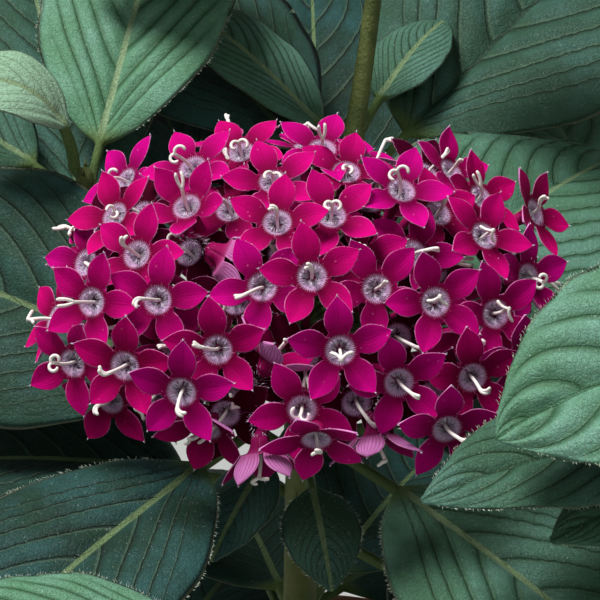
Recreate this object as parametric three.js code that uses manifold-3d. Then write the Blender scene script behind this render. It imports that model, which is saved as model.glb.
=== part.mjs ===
// A pentas in a clay pot: one wide, domed flower head over leafy stems rooted in soil.
// Millimetres, +Z up. The origin is the middle of the pot's flat foot, +X is the plant's
// right, +Y its back, and an azimuth turns from +X towards +Y.
import * as THREE from "three";
import { mergeVertices } from "three/addons/utils/BufferGeometryUtils.js";
import Module from "manifold-3d";

const wasm = await Module();
wasm.setup();

// ---------------------------------------------------------------- driving dimensions

const SEAT = 0.3; // the gap between a piece and what carries it

const POT = {
  foot: 42, // outer radius at the foot
  shoulder: 56, // outer radius under the rim band
  shoulderHeight: 84,
  rim: 61, // outer radius of the rim band
  rimTaper: 0.6, // the band is this much narrower at its foot
  rimEase: 2, // the slope at its upper edge
  height: 105,
  wall: 6,
  floor: 8,
  drainRadius: 4,
  drainReach: 24, // from the pot's middle to a drain hole
  drains: 3,
  sides: 36,
  drainSides: 10,
};

const SOIL = {
  edge: 92, // height at the pot's wall
  brow: 94.5, // and at browRadius, and in the middle
  browRadius: 30,
  crown: 96,
  rootDepth: 24, // how deep the stems stand, below the edge
  holeSides: 8,
};

// The flower head: its florets open on the surface of a flattened ball.
const HEAD = {
  centre: new THREE.Vector3(0, 0, 220),
  reach: new THREE.Vector3(37, 36, 17), // from the centre to the florets' mouths
  core: new THREE.Vector3(23, 22, 9), // the knot of short branches inside
  coreDrop: 6, // the knot's middle, below the centre
  rootShare: 0.7, // where in the knot the florets' tubes end
  stalkDrop: 16, // the foot of the flower stalk, below the centre
  stalkRadius: 2,
  stalkFlare: 4.8, // its radius where it branches
  spacing: 10.4, // between the mouths of neighbouring florets
  lowest: -0.3, // share of the upright reach down to which florets open
  storey: 1.7, // neighbouring florets open in storeys, this far apart
  crowd: 12.5, // mouths nearer than this are neighbours
  turns: 150, // places tried on the shaded side
  shade: 0.25, // the shaded side faces the light by less than this cosine
};

// The side that grew towards the light: the florets there were set by eye, on the
// plane square to this rising line of sight.
const LIGHT_ELEVATION = 37;

// Each floret: to the right and up on that plane, its depth under the dome and its turn.
const LIT_FLORETS = [
  [-16.2, 20.0, 0, 20], [-16.6, 13.7, 0, 20], [-23.7, 6.6, 0, 22], [-27.6, 12.6, 1, 10],
  [-27.0, 18.5, 1, 40], [-32.0, 5.6, 1, 10], [-30.0, -0.3, 0, 15], [-20.4, 0.0, 0, 20],
  [-33.0, -9.2, 0, 15], [-24.7, -9.3, 0, 20], [-16.6, -12.9, 0, 18], [-11.6, -7.0, 4, 30],
  [-5.4, 1.9, 4, 50], [-11.2, 6.4, 4, 40], [-3.3, 11.2, 1, 15], [-4.0, 17.6, 1, 50],
  [4.6, 12.3, 1, 20], [1.7, 3.3, 0, 28], [5.6, -7.0, 0, 20], [-4.0, -8.4, 4, 60],
  [0.3, -15.3, 0, 15], [2.3, -19.6, 4, 40], [-5.5, -21.7, 2, 10], [-13.3, -18.4, 2, 50],
  [11.0, 1.6, 4, 40], [8.8, 5.8, 5, 25], [15.0, 16.2, 0, 35], [16.6, 6.8, 4, 50],
  [19.2, -0.3, 0, 26], [28.2, -2.0, 0, 22], [27.0, 9.4, 0, 26], [23.4, 20.0, 1, 30],
  [27.6, 15.6, 2, 50], [36.0, 13.4, 1, 15], [33.9, 3.3, 1, 50], [24.5, -11.0, 0, 20],
  [13.9, -11.6, 2, 40], [20.7, -18.2, 1, 15], [7.0, 19.3, 1, 20], [3.4, 23.0, 2, 50],
  [-9.0, 22.6, 2, 20], [10.8, -19.4, 4, 30], [31.8, -9.0, 3, 10], [-10.4, 13.4, 3, 30],
  [20.6, 13.0, 4, 10], [-18.2, -6.6, 5, 60], [-27.6, -14.6, 3, 30], [25.0, -5.2, 1, 10],
];

const FLORET = {
  tip: 7.9, // the throat to a petal's tip
  tipRise: 0.9,
  shoulder: 4.7, // the throat to a petal's widest place
  shoulderHalf: 2.45,
  shoulderRise: 1.25,
  middleRise: 0.45,
  notch: 2.9, // the throat to the notch between two petals
  throatSink: 1.2,
  thickness: 0.8,
  neck: 1.25, // the tube's radius under the petals
  tube: 0.85, // and along its length
  neckDrop: 2.2,
  bendDrop: 8, // how far the tube runs straight back
  styleLength: 3.6, // beyond the petals' notches
  styleLean: 2.2, // away from the middle of the head
  styleFoot: 0.5, // radius in the throat
  styleTip: 0.32,
};

// How strongly a floret turns out from the dome, and how much it lifts its face to the light.
const TURN_OUT = { side: 0.88, front: 2.0, back: 0.5, lift: 0.6 };

// Stems: foot in the soil, top, and radius at foot and top.
const STEMS = {
  main_stem: { foot: [0, 0], top: [0, 0, 203.7], girth: [3.6, 2.0] },
  right_stem: { foot: [36, -12], top: [84, -25, 240], girth: [3.0, 1.3] },
  left_stem: { foot: [-27, 20], top: [-35, 42, 215], girth: [2.8, 1.3] },
  back_stem: { foot: [-2, 34], top: [13, 73, 236], girth: [3.0, 1.3] },
  far_right_stem: { foot: [32, 16], top: [68, 26, 200], girth: [2.6, 1.3] },
  near_left_stem: { foot: [-30, -16], top: [-68, -30, 184], girth: [2.6, 1.3] },
  near_stem: { foot: [8, -33], top: [-4, -60, 206], girth: [2.6, 1.3] },
};

// How far a stem rises upright from its foot, and leans straight towards its top, as
// shares of its height, with the facets it has round and along.
const STEM = { upright: 0.4, leaning: 0.3, sides: 7, steps: 9 };

// Leaves, each with its stem, the height of its node, the azimuth it points to, the pitch
// at which it leaves, how far its tip has turned down, its petiole, blade and width, the
// roll of its blade and the sideways bend of its midrib.
const LEAVES = [
  ["main_stem", 201, -130, 4, 26, 20, 76, 38, 0, 0],
  ["main_stem", 201, 50, 8, 25, 16, 72, 44, 12, 4],
  ["main_stem", 195.5, -50, 6, 28, 20, 74, 40, 0, 4],
  ["main_stem", 195.5, 106, 8, 22, 22, 82, 27, 0, 0],
  ["main_stem", 190, 151, 19, 34, 20, 72, 44, -30, 4],
  ["main_stem", 193, 10, 6, 26, 14, 46, 36, 0, 0],
  ["main_stem", 182, 168, 4, 30, 16, 56, 34, 0, 0],
  ["main_stem", 176, -40, 4, 34, 16, 46, 28, 0, 0],
  ["main_stem", 197, -118, -2, 34, 8, 19, 11, 0, 0],
  ["main_stem", 192.4, -80, -2, 32, 8, 18, 12, 0, 0],
  ["main_stem", 158, -95, 10, 40, 8, 28, 24, 0, 0],
  ["main_stem", 147, 110, 10, 40, 14, 40, 24, 0, 0],
  ["right_stem", 234, -160, 11, 38, 10, 49, 35, -18, 0],
  ["right_stem", 214, -159, 15, 28, 12, 48, 22, -6, 0],
  ["right_stem", 236, 25, 18, 46, 10, 52, 26, 0, 0],
  ["right_stem", 205, -150, 14, 24, 8, 30, 15, -10, 0],
  ["right_stem", 208, 20, 10, 44, 14, 62, 32, 0, 0],
  ["right_stem", 172, -50, 6, 44, 16, 60, 30, 0, 0],
  ["right_stem", 140, -8, 4, 40, 14, 52, 28, 0, 0],
  ["left_stem", 211, 78, 28, 22, 8, 66, 33, 0, 0],
  ["left_stem", 214, 174, 90, 160, 9, 26, 13, -15, 0],
  ["left_stem", 209, 144, 18, 30, 10, 50, 26, 0, 0],
  ["left_stem", 197, 103, 24, 24, 12, 66, 36, 0, 0],
  ["left_stem", 178, 120, 10, 40, 14, 62, 32, 0, 0],
  ["left_stem", 140, 165, 4, 40, 14, 54, 30, 0, 0],
  ["back_stem", 204, 132, 24, 34, 6, 44, 16, 0, 0],
  ["back_stem", 207.8, 60, 24, 34, 7, 25, 13, 0, 0],
  ["back_stem", 233, 178, 20, 44, 6, 44, 20, 0, 0],
  ["back_stem", 233, -2, 20, 44, 6, 44, 20, 0, 0],
  ["back_stem", 198.7, 46, 19.8, 14, 14, 84, 56, 8, 6],
  ["back_stem", 197.8, 126, 14, 20, 12, 72, 40, 0, 0],
  ["back_stem", 180, 125, 19, 30, 12, 66, 40, 0, 0],
  ["back_stem", 172.4, 91, 22, 25, 14, 82, 46, 0, 0],
  ["far_right_stem", 197, 4, 12, 40, 12, 62, 34, 0, 0],
  ["far_right_stem", 184, 101, 11, 28, 14, 72, 42, 0, 0],
  ["far_right_stem", 154, 10, 8, 44, 14, 56, 30, 0, 0],
  ["near_left_stem", 181, 175, 14, 40, 12, 58, 32, 0, 0],
  ["near_left_stem", 181, -100, 14, 44, 12, 56, 30, 0, 0],
  ["near_left_stem", 146, -160, 6, 44, 14, 56, 30, 0, 0],
  ["near_stem", 203, 176, 16, 40, 8, 46, 20, 0, 0],
  ["near_stem", 203, -14, 12, 44, 10, 56, 28, 0, 0],
  ["near_stem", 130, -90, 4, 40, 14, 54, 30, 0, 0],
  ["main_stem", 134, -56, 8, 44, 22, 46, 22, 0, 0],
  ["near_left_stem", 122, 150, 8, 50, 12, 48, 28, 0, 0],
  ["far_right_stem", 121, 80, 4, 46, 12, 46, 28, 0, 0],
  ["left_stem", 118, 64, 8, 46, 12, 50, 34, 0, 0],
  ["back_stem", 122, 36, 8, 40, 8, 50, 42, 0, 0],
  ["right_stem", 116, -62, 8, 50, 12, 46, 26, 0, 0],
  ["main_stem", 151, 108, 9, 30, 8, 30, 34, 0, 0],
  ["main_stem", 155.5, 60, 9, 30, 8, 46, 36, 0, 0],
];

const BLADE = {
  thickness: 0.8,
  petioleHalf: 1.1,
  petioleThickness: 2,
  baseTaper: 0.75, // lower is blunter
  tipTaper: 0.9,
  fold: 0.3, // rise of the blade beside its midrib, per width
  arch: 0.26, // and how far it turns down again at the margin
  stations: [0.05, 0.18, 0.36, 0.56, 0.76, 0.91],
  steps: 40, // along the midrib
  petioleBend: 0.6, // share of the petiole at which it has turned to its pitch
  stout: 0.6, // how much of the petiole's thickness runs on under the blade's foot
  stoutEnd: 0.2, // the share of the blade by which it has run out
};

const CLAY = { color: 0xb2694a, roughness: 0.85, metalness: 0 };
const EARTH = { color: 0x2e2219, roughness: 1, metalness: 0 };
const BARK = { color: 0x6f7a45, roughness: 0.7, metalness: 0 };
const FOLIAGE = { color: 0x33584c, roughness: 0.6, metalness: 0 };
const PETAL = { color: 0xb80862, roughness: 0.6, metalness: 0 };

// ---------------------------------------------------------------- small helpers

const { degToRad } = THREE.MathUtils;
const UP = new THREE.Vector3(0, 0, 1);

function direction(azimuth, pitch) {
  const a = degToRad(azimuth);
  const p = degToRad(pitch);
  return new THREE.Vector3(Math.cos(a) * Math.cos(p), Math.sin(a) * Math.cos(p), Math.sin(p));
}

const TO_LIGHT = direction(-90, LIGHT_ELEVATION);

// A geometry from corner points and faces, turned so that its faces point out.
function closedGeometry(points, faces) {
  const volume = faces.reduce((sum, [a, b, c]) => {
    return sum + points[a].dot(points[b].clone().cross(points[c]));
  }, 0);
  const index = faces.flatMap(([a, b, c]) => (volume > 0 ? [a, b, c] : [a, c, b]));
  const geometry = new THREE.BufferGeometry();
  geometry.setAttribute("position", new THREE.Float32BufferAttribute(points.flatMap((p) => p.toArray()), 3));
  geometry.setIndex(index);
  return geometry;
}

// A skin over rings of equally many points, with a flat cap at its start and, at its end,
// a flat cap or a point.
function loft(rings, point) {
  const count = rings[0].length;
  const points = rings.flat();
  const faces = [];
  for (let r = 0; r + 1 < rings.length; r += 1) {
    for (let i = 0; i < count; i += 1) {
      const a = r * count + i;
      const b = r * count + ((i + 1) % count);
      faces.push([a, b, b + count], [a, b + count, a + count]);
    }
  }
  for (let i = 1; i + 1 < count; i += 1) {
    faces.push([0, i + 1, i]);
  }
  const last = (rings.length - 1) * count;
  if (point) {
    points.push(point);
    for (let i = 0; i < count; i += 1) {
      faces.push([last + i, last + ((i + 1) % count), points.length - 1]);
    }
  } else {
    for (let i = 1; i + 1 < count; i += 1) {
      faces.push([last, last + i, last + i + 1]);
    }
  }
  return closedGeometry(points, faces);
}

// The corners of a regular polygon square to an upright or leaning axis.
function ring(centre, axis, radius, sides) {
  const side = new THREE.Vector3(0, -axis.z, axis.y).normalize();
  return Array.from({ length: sides }, (_, i) => {
    const spoke = side.clone().applyAxisAngle(axis, (2 * Math.PI * i) / sides);
    return centre.clone().addScaledVector(spoke, radius);
  });
}

function toSolid(geometry) {
  const plain = geometry.clone();
  plain.deleteAttribute("normal");
  plain.deleteAttribute("uv");
  const merged = mergeVertices(plain);
  return new wasm.Manifold(
    new wasm.Mesh({
      numProp: 3,
      vertProperties: new Float32Array(merged.attributes.position.array),
      triVerts: new Uint32Array(merged.index.array),
    }),
  );
}

// The largest body of a solid, with any sealed hollow filled.
function toGeometry(solid) {
  const [body] = solid.decompose().sort((a, b) => b.volume() - a.volume());
  const { vertProperties, triVerts } = body.getMesh();
  const geometry = new THREE.BufferGeometry();
  geometry.setAttribute("position", new THREE.BufferAttribute(vertProperties, 3));
  geometry.setIndex(new THREE.BufferAttribute(triVerts, 1));
  return geometry;
}

function named(name, geometry, finish) {
  const mesh = new THREE.Mesh(geometry, new THREE.MeshStandardMaterial(finish));
  mesh.name = name;
  return mesh;
}

// ---------------------------------------------------------------- pot and soil

// The inner radius of the pot at a height above its floor.
function potInside(height) {
  const slope = (POT.shoulder - POT.foot) / POT.shoulderHeight;
  return POT.foot - POT.wall + slope * height;
}

function turned(profile) {
  const outline = profile.map(([radius, height]) => new THREE.Vector2(radius, height));
  return toSolid(new THREE.LatheGeometry(outline, POT.sides).rotateX(Math.PI / 2));
}

function makePot() {
  const body = turned([
    [0, 0],
    [POT.foot, 0],
    [POT.shoulder, POT.shoulderHeight],
    [POT.rim - POT.rimTaper, POT.shoulderHeight],
    [POT.rim, POT.height - POT.rimEase],
    [POT.rim - POT.rimEase, POT.height],
    [potInside(POT.height), POT.height],
    [potInside(POT.floor), POT.floor],
    [0, POT.floor],
  ]);
  const bores = Array.from({ length: POT.drains }, (_, i) => {
    const spoke = direction((360 * i) / POT.drains + 90, 0).multiplyScalar(POT.drainReach);
    const bore = new THREE.CylinderGeometry(POT.drainRadius, POT.drainRadius, 3 * POT.floor, POT.drainSides);
    return toSolid(bore.rotateX(Math.PI / 2).translate(spoke.x, spoke.y, 0));
  });
  return named("pot", toGeometry(bores.reduce((pot, bore) => pot.subtract(bore), body)), CLAY);
}

function makeSoil() {
  const gap = 2 * SEAT; // the wall slopes
  const body = turned([
    [0, POT.floor + SEAT],
    [potInside(POT.floor) - gap, POT.floor + SEAT],
    [potInside(SOIL.edge) - gap, SOIL.edge],
    [SOIL.browRadius, SOIL.brow],
    [0, SOIL.crown],
  ]);
  const holes = Object.values(STEMS).map(({ foot: [x, y], girth: [radius] }) => {
    const bore = (radius + SEAT) / Math.cos(Math.PI / SOIL.holeSides);
    const hole = new THREE.CylinderGeometry(bore, bore, 2 * SOIL.rootDepth, SOIL.holeSides);
    const middle = SOIL.edge - SEAT;
    return toSolid(hole.rotateX(Math.PI / 2).translate(x, y, middle));
  });
  return named("soil", toGeometry(holes.reduce((soil, hole) => soil.subtract(hole), body)), EARTH);
}

// ---------------------------------------------------------------- stems

// A stem leaves the soil upright and bends over to its top.
function stemCurve({ foot: [x, y], top }) {
  const start = new THREE.Vector3(x, y, SOIL.crown);
  const end = new THREE.Vector3(...top);
  const height = end.z - start.z;
  const lean = new THREE.Vector3(end.x - x, end.y - y, height).normalize();
  return new THREE.CubicBezierCurve3(
    start,
    start.clone().addScaledVector(UP, height * STEM.upright),
    end.clone().addScaledVector(lean, -height * STEM.leaning),
    end,
  );
}

function stemRadius({ girth: [low, high] }, share) {
  return low + (high - low) * share;
}

// The share of a stem's curve that lies below a height.
function shareAtHeight(curve, height) {
  let [low, high] = [0, 1];
  for (let i = 0; i < 30; i += 1) {
    const middle = (low + high) / 2;
    if (curve.getPoint(middle).z < height) {
      low = middle;
    } else {
      high = middle;
    }
  }
  return (low + high) / 2;
}

function makeStem(name) {
  const stem = STEMS[name];
  const curve = stemCurve(stem);
  const root = curve.getPoint(0).setZ(SOIL.edge - SOIL.rootDepth);
  const rings = [ring(root, UP, stem.girth[0], STEM.sides)];
  for (let i = 0; i <= STEM.steps; i += 1) {
    const share = i / STEM.steps;
    rings.push(ring(curve.getPoint(share), curve.getTangent(share), stemRadius(stem, share), STEM.sides));
  }
  return named(name, loft(rings), BARK);
}

// ---------------------------------------------------------------- leaves

// Half the width of a blade at a share of its length: broadest a little below the middle.
function bladeHalf(width, share) {
  const outline = (s) => s ** BLADE.baseTaper * (1 - s) ** BLADE.tipTaper;
  const broadest = BLADE.baseTaper / (BLADE.baseTaper + BLADE.tipTaper);
  return ((width / 2) * outline(share)) / outline(broadest);
}

// One ring of eight points round a petiole or blade, and its lens-like section.
function leafRing(centre, along, azimuth, roll, half, thickness, fold) {
  const side = direction(azimuth + 90, 0).applyAxisAngle(along, degToRad(roll));
  const normal = new THREE.Vector3().crossVectors(along, side).normalize();
  const lift = (q) => half * fold * (BLADE.fold * Math.abs(q) - BLADE.arch * q * q);
  const place = (q, rise) => {
    return centre.clone().addScaledVector(side, q * half).addScaledVector(normal, lift(q) + rise);
  };
  const top = [0.5, 0, -0.5].map((q) => place(q, thickness / 2));
  const under = [-0.5, 0, 0.5].map((q) => place(q, -thickness / 2));
  return [place(1, 0), ...top, place(-1, 0), ...under];
}

function makeLeaf([stemName, height, azimuth, rise, droop, petiole, blade, width, roll, bend], index) {
  const stem = STEMS[stemName];
  const curve = stemCurve(stem);
  const share = shareAtHeight(curve, height);
  const grain = curve.getTangent(share);
  const out = direction(azimuth, 0);
  out.addScaledVector(grain, -out.dot(grain)).normalize();
  const seat = stemRadius(stem, share) + SEAT;
  const base = curve.getPoint(share).addScaledVector(out, seat);

  const length = petiole + blade;
  const midrib = [base.clone()];
  const headings = [{ azimuth, pitch: rise }];
  for (let i = 1; i <= BLADE.steps; i += 1) {
    const s = (i - 0.5) / BLADE.steps;
    const heading = { azimuth: azimuth + bend * s, pitch: rise - droop * s ** 1.5 };
    headings.push(heading);
    const step = direction(heading.azimuth, heading.pitch).multiplyScalar(length / BLADE.steps);
    midrib.push(midrib[i - 1].clone().add(step));
  }
  const at = (s) => {
    const i = Math.min(BLADE.steps - 1, Math.floor(s * BLADE.steps));
    const centre = midrib[i].clone().lerp(midrib[i + 1], s * BLADE.steps - i);
    const heading = headings[i + 1];
    return { centre, along: direction(heading.azimuth, heading.pitch), azimuth: heading.azimuth };
  };

  const rings = [leafRing(base, out, azimuth, 0, BLADE.petioleHalf, BLADE.petioleThickness, 0)];
  const neck = at((BLADE.petioleBend * petiole) / length);
  const { petioleHalf, petioleThickness } = BLADE;
  rings.push(leafRing(neck.centre, neck.along, azimuth, roll / 2, petioleHalf, petioleThickness, 0));
  for (const s of BLADE.stations) {
    const place = at((petiole + s * blade) / length);
    const half = Math.max(BLADE.petioleHalf, bladeHalf(width, s));
    const stout = BLADE.stout * Math.max(0, 1 - s / BLADE.stoutEnd);
    const thickness = BLADE.thickness + (BLADE.petioleThickness - BLADE.thickness) * stout;
    rings.push(leafRing(place.centre, place.along, place.azimuth, roll, half, thickness, 1));
  }
  const name = `leaf_${String(index + 1).padStart(2, "0")}`;
  return named(name, loft(rings, midrib[BLADE.steps]), FOLIAGE);
}

// ---------------------------------------------------------------- flower head

// The point of the dome behind a place on the plane square to the line of sight.
function domePoint(right, up, depth) {
  const { x: a, y: b, z: c } = HEAD.reach;
  const sin = Math.sin(degToRad(LIGHT_ELEVATION));
  const cos = Math.cos(degToRad(LIGHT_ELEVATION));
  const quadratic = (cos / b) ** 2 + (sin / c) ** 2;
  const linear = 2 * up * sin * cos * (1 / c ** 2 - 1 / b ** 2);
  const constant = (right / a) ** 2 + ((up * sin) / b) ** 2 + ((up * cos) / c) ** 2 - 1;
  const root = Math.sqrt(Math.max(0, linear ** 2 - 4 * quadratic * constant));
  const near = (root - linear) / (2 * quadratic) - depth;
  return new THREE.Vector3(right, up * sin - near * cos, up * cos + near * sin);
}

// Florets on the shaded side: even turns by the golden angle, where no floret opens yet.
function fillDome(mouths) {
  const goldenAngle = 137.508;
  for (let i = 0; i < HEAD.turns; i += 1) {
    const rise = 1 - ((1 - HEAD.lowest) * (i + 0.5)) / HEAD.turns;
    const spoke = direction(goldenAngle * i, 0).multiplyScalar(Math.sqrt(1 - rise * rise));
    const place = new THREE.Vector3(spoke.x, spoke.y, rise).multiply(HEAD.reach);
    const facing = place.clone().divide(HEAD.reach).divide(HEAD.reach).normalize();
    const lit = facing.dot(TO_LIGHT) > HEAD.shade;
    if (!lit && mouths.every((mouth) => mouth.place.distanceTo(place) > HEAD.spacing)) {
      mouths.push({ place, turn: (goldenAngle * i) % 72 });
    }
  }
}

// Neighbouring florets stand in storeys, so that their petals overlap as shingles do.
function stagger(mouths) {
  mouths.forEach((mouth, i) => {
    const crowding = (other) => other.place.distanceTo(mouth.place) < HEAD.crowd;
    const near = mouths.slice(0, i).filter(crowding);
    mouth.storey = 0;
    while (near.some((other) => other.storey === mouth.storey)) {
      mouth.storey += 1;
    }
  });
  for (const mouth of mouths) {
    const { x, y, z } = mouth.place.clone().divide(HEAD.reach);
    const { side, front, back, lift } = TURN_OUT;
    mouth.axis = new THREE.Vector3(side * x, (y < 0 ? front : back) * y, z);
    mouth.axis.addScaledVector(mouth.rise ?? UP, lift).normalize();
    const rise = mouth.rise ?? mouth.axis;
    mouth.place = mouth.place.clone().addScaledVector(rise, -HEAD.storey * mouth.storey);
  }
}

// The corners of one fifth of a floret, from its style to the root of its tube, and its
// faces. A prime marks the corner of the petal before.
const CORNERS = "style throat notch crease left tip right keel neck bend root".split(" ");
const FIFTH = [
  ["throat'", "throat", "style"],
  ["throat'", "style", "style'"],
  ["throat'", "notch'", "crease"],
  ["throat'", "crease", "throat"],
  ["throat", "crease", "notch"],
  ["notch'", "right", "crease"],
  ["right", "tip", "crease"],
  ["tip", "left", "crease"],
  ["left", "notch", "crease"],
  ["right", "notch'", "keel"],
  ["tip", "right", "keel"],
  ["left", "tip", "keel"],
  ["notch", "left", "keel"],
  ["notch'", "neck'", "keel"],
  ["neck'", "neck", "keel"],
  ["neck", "notch", "keel"],
  ["neck'", "bend'", "bend"],
  ["neck'", "bend", "neck"],
  ["bend'", "root'", "root"],
  ["bend'", "root", "bend"],
];

// One floret: five pointed petals round a sunken throat, with the style in front and a
// bent tube behind. It faces along its axis, and its turn is that of its first petal.
function makeFloret({ place, axis, turn }) {
  const right = new THREE.Vector3(-axis.y, axis.x, 0).normalize();
  const up = new THREE.Vector3().crossVectors(axis, right);
  const spot = (middle, reach, angle, aside, rise) => {
    const a = degToRad(angle);
    const x = reach * Math.cos(a) - aside * Math.sin(a);
    const y = reach * Math.sin(a) + aside * Math.cos(a);
    return middle.clone().addScaledVector(right, x).addScaledVector(up, y).addScaledVector(axis, rise);
  };
  const outward = new THREE.Vector3(place.x, place.y, place.z / 2);
  outward.addScaledVector(axis, -outward.dot(axis)).normalize();
  const styleTip = place.clone().addScaledVector(outward, FLORET.styleLean);
  const knot = HEAD.core.clone().multiplyScalar(HEAD.rootShare);
  const root = place.clone().divide(HEAD.reach).multiply(knot).addScaledVector(UP, -HEAD.coreDrop);

  const { shoulder, shoulderHalf, shoulderRise, middleRise, thickness } = FLORET;
  const points = [0, 1, 2, 3, 4].flatMap((petal) => {
    const along = turn + 72 * petal;
    const between = along + 36;
    return [
      spot(styleTip, FLORET.styleTip, between, 0, FLORET.styleLength),
      spot(place, FLORET.styleFoot, between, 0, -FLORET.throatSink),
      spot(place, FLORET.notch, between, 0, 0),
      spot(place, shoulder, along, 0, middleRise),
      spot(place, shoulder, along, shoulderHalf, shoulderRise),
      spot(place, FLORET.tip, along, 0, FLORET.tipRise),
      spot(place, shoulder, along, -shoulderHalf, shoulderRise),
      spot(place, shoulder, along, 0, middleRise - thickness),
      spot(place, FLORET.neck, between, 0, -FLORET.neckDrop),
      spot(place, FLORET.tube, between, 0, -FLORET.bendDrop),
      spot(root, FLORET.tube, between, 0, 0),
    ];
  });
  const corner = (name, petal) => {
    const here = name.endsWith("'") ? (petal + 4) % 5 : petal;
    return here * CORNERS.length + CORNERS.indexOf(name.replace("'", ""));
  };
  const faces = [0, 1, 2, 3, 4].flatMap((petal) => {
    return FIFTH.map((names) => names.map((name) => corner(name, petal)));
  });
  for (const petal of [1, 2, 3]) {
    faces.push([corner("style", 0), corner("style", petal), corner("style", petal + 1)]);
    faces.push([corner("root", 0), corner("root", petal + 1), corner("root", petal)]);
  }
  return toSolid(closedGeometry(points, faces));
}

function makeHead() {
  const mouths = LIT_FLORETS.map(([right, up, depth, turn]) => {
    return { place: domePoint(right, up, depth), turn, rise: TO_LIGHT };
  });
  fillDome(mouths);
  stagger(mouths);
  const ball = new THREE.SphereGeometry(1, 14, 8).rotateX(Math.PI / 2);
  const core = ball.scale(HEAD.core.x, HEAD.core.y, HEAD.core.z).translate(0, 0, -HEAD.coreDrop);
  const stalkHeight = HEAD.stalkDrop - HEAD.coreDrop;
  const stalk = new THREE.CylinderGeometry(HEAD.stalkFlare, HEAD.stalkRadius, stalkHeight, 8);
  stalk.rotateX(Math.PI / 2).translate(0, 0, -HEAD.stalkDrop + stalkHeight / 2);
  const solids = [toSolid(core), toSolid(stalk), ...mouths.map(makeFloret)];
  const head = named("flower_head", toGeometry(wasm.Manifold.union(solids)), PETAL);
  head.position.copy(HEAD.centre);
  return head;
}

// ---------------------------------------------------------------- the plant

const plant = new THREE.Group();
plant.add(makePot(), makeSoil(), makeHead());
plant.add(...Object.keys(STEMS).map(makeStem));
plant.add(...LEAVES.map(makeLeaf));

export default plant;
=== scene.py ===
# %% [markdown]
# # A pentas in a clay pot
#
# A pentas is a bushy house plant. Each shoot carries its leaves in pairs and may end in a
# broad head of small five-petalled florets. This lesson dresses a plain solid model of the
# plant: the solids say where each stem, leaf and floret is, and here each of them gets its
# fine shape and its finish. Everything is worked out in millimetres and turned into metres
# when a mesh is made.

# %% Load the plain model that everything is built around
import math

import bpy
import numpy as np
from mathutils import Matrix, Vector
from mathutils.bvhtree import BVHTree


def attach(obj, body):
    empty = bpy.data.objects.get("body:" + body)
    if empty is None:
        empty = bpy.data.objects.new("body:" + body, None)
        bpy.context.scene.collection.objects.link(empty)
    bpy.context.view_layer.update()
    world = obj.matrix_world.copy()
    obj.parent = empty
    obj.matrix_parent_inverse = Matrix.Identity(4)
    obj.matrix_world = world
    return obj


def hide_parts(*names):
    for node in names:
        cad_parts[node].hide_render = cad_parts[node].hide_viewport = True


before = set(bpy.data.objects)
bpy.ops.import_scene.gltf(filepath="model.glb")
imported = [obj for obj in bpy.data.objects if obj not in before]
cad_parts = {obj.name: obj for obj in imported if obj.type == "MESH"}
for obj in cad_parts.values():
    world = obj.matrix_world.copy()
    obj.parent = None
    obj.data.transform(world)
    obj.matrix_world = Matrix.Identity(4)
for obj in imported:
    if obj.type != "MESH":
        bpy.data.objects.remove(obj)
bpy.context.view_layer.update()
MM = 0.001
print(len(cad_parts), "solids in the plain model")

# %% [markdown]
# ## Directions and small sums
#
# A leaf or a floret has a direction, given as an azimuth from +X towards +Y and a pitch
# above the level. The helpers take single numbers or whole arrays, because arrays let one
# line of code place thousands of points.

# %% Directions
UP = np.array([0.0, 0.0, 1.0])


def unit(vectors):
    return vectors / np.linalg.norm(vectors, axis=-1, keepdims=True)


def direction(azimuth, pitch):
    a, p = np.broadcast_arrays(np.radians(azimuth), np.radians(pitch))
    return np.stack([np.cos(a) * np.cos(p), np.sin(a) * np.cos(p), np.sin(p)], axis=-1)


def ease(low, high, x):
    """0 below low, 1 above high, and a soft S between them."""
    t = np.clip((x - low) / (high - low), 0, 1)
    return t * t * (3 - 2 * t)


# %% [markdown]
# ## Gathering a mesh
#
# A plant has thousands of small parts that share a finish, such as hairs. One object for
# each would be slow, so a `Heap` gathers the points and faces of many of them, with marks:
# one number a point, which the materials read later, such as how near it is to a margin.

# %% The heap
class Heap:
    def __init__(self):
        self.points, self.faces, self.marks, self.count = [], [], {}, 0

    def add(self, points, faces, **marks):
        self.points.append(points)
        self.faces.extend([[i + self.count for i in face] for face in faces])
        for name, values in marks.items():
            self.marks.setdefault(name, []).append(np.broadcast_to(values, len(points)))
        self.count += len(points)

    def piece(self, name, material, slot, *nodes):
        """One object that rides on the plant; the named solids are hidden, as it takes their place."""
        mesh = bpy.data.meshes.new(name)
        mesh.from_pydata((np.concatenate(self.points) * MM).tolist(), [], self.faces)
        for mark, values in self.marks.items():
            layer = mesh.attributes.new(mark, "FLOAT", "POINT")
            layer.data.foreach_set("value", np.concatenate(values).astype(np.float32))
        mesh.shade_smooth()
        mesh.materials.append(material)
        thing = bpy.data.objects.new(name, mesh)
        bpy.context.scene.collection.objects.link(thing)
        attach(thing, "root")
        if nodes:
            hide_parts(*nodes)
        TRIANGLES[name] = sum(len(face) - 2 for face in self.faces)
        return thing


TRIANGLES = {}


# %% [markdown]
# ## Skins over rings, round tubes and hairs
#
# Stems, styles and stalks are all a row of rings joined by a skin. A tube along a bent path
# must not twist, so each ring's first spoke is the one before it, turned as little as the
# path asks. A hair is the simplest closed solid: three base corners and a tip.

# %% Skins, tubes and hairs
def skin_faces(rings, sides, pointed=False):
    """The faces over rings of equally many points, closed at the start and the end."""
    faces = [list(range(sides))[::-1]]
    for r in range(rings - 1):
        for i in range(sides):
            j = (i + 1) % sides
            faces.append([r * sides + i, r * sides + j, (r + 1) * sides + j, (r + 1) * sides + i])
    last = (rings - 1) * sides
    if pointed:
        faces += [[last + i, last + (i + 1) % sides, last + sides] for i in range(sides)]
    else:
        faces.append([last + i for i in range(sides)])
    return faces


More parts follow.
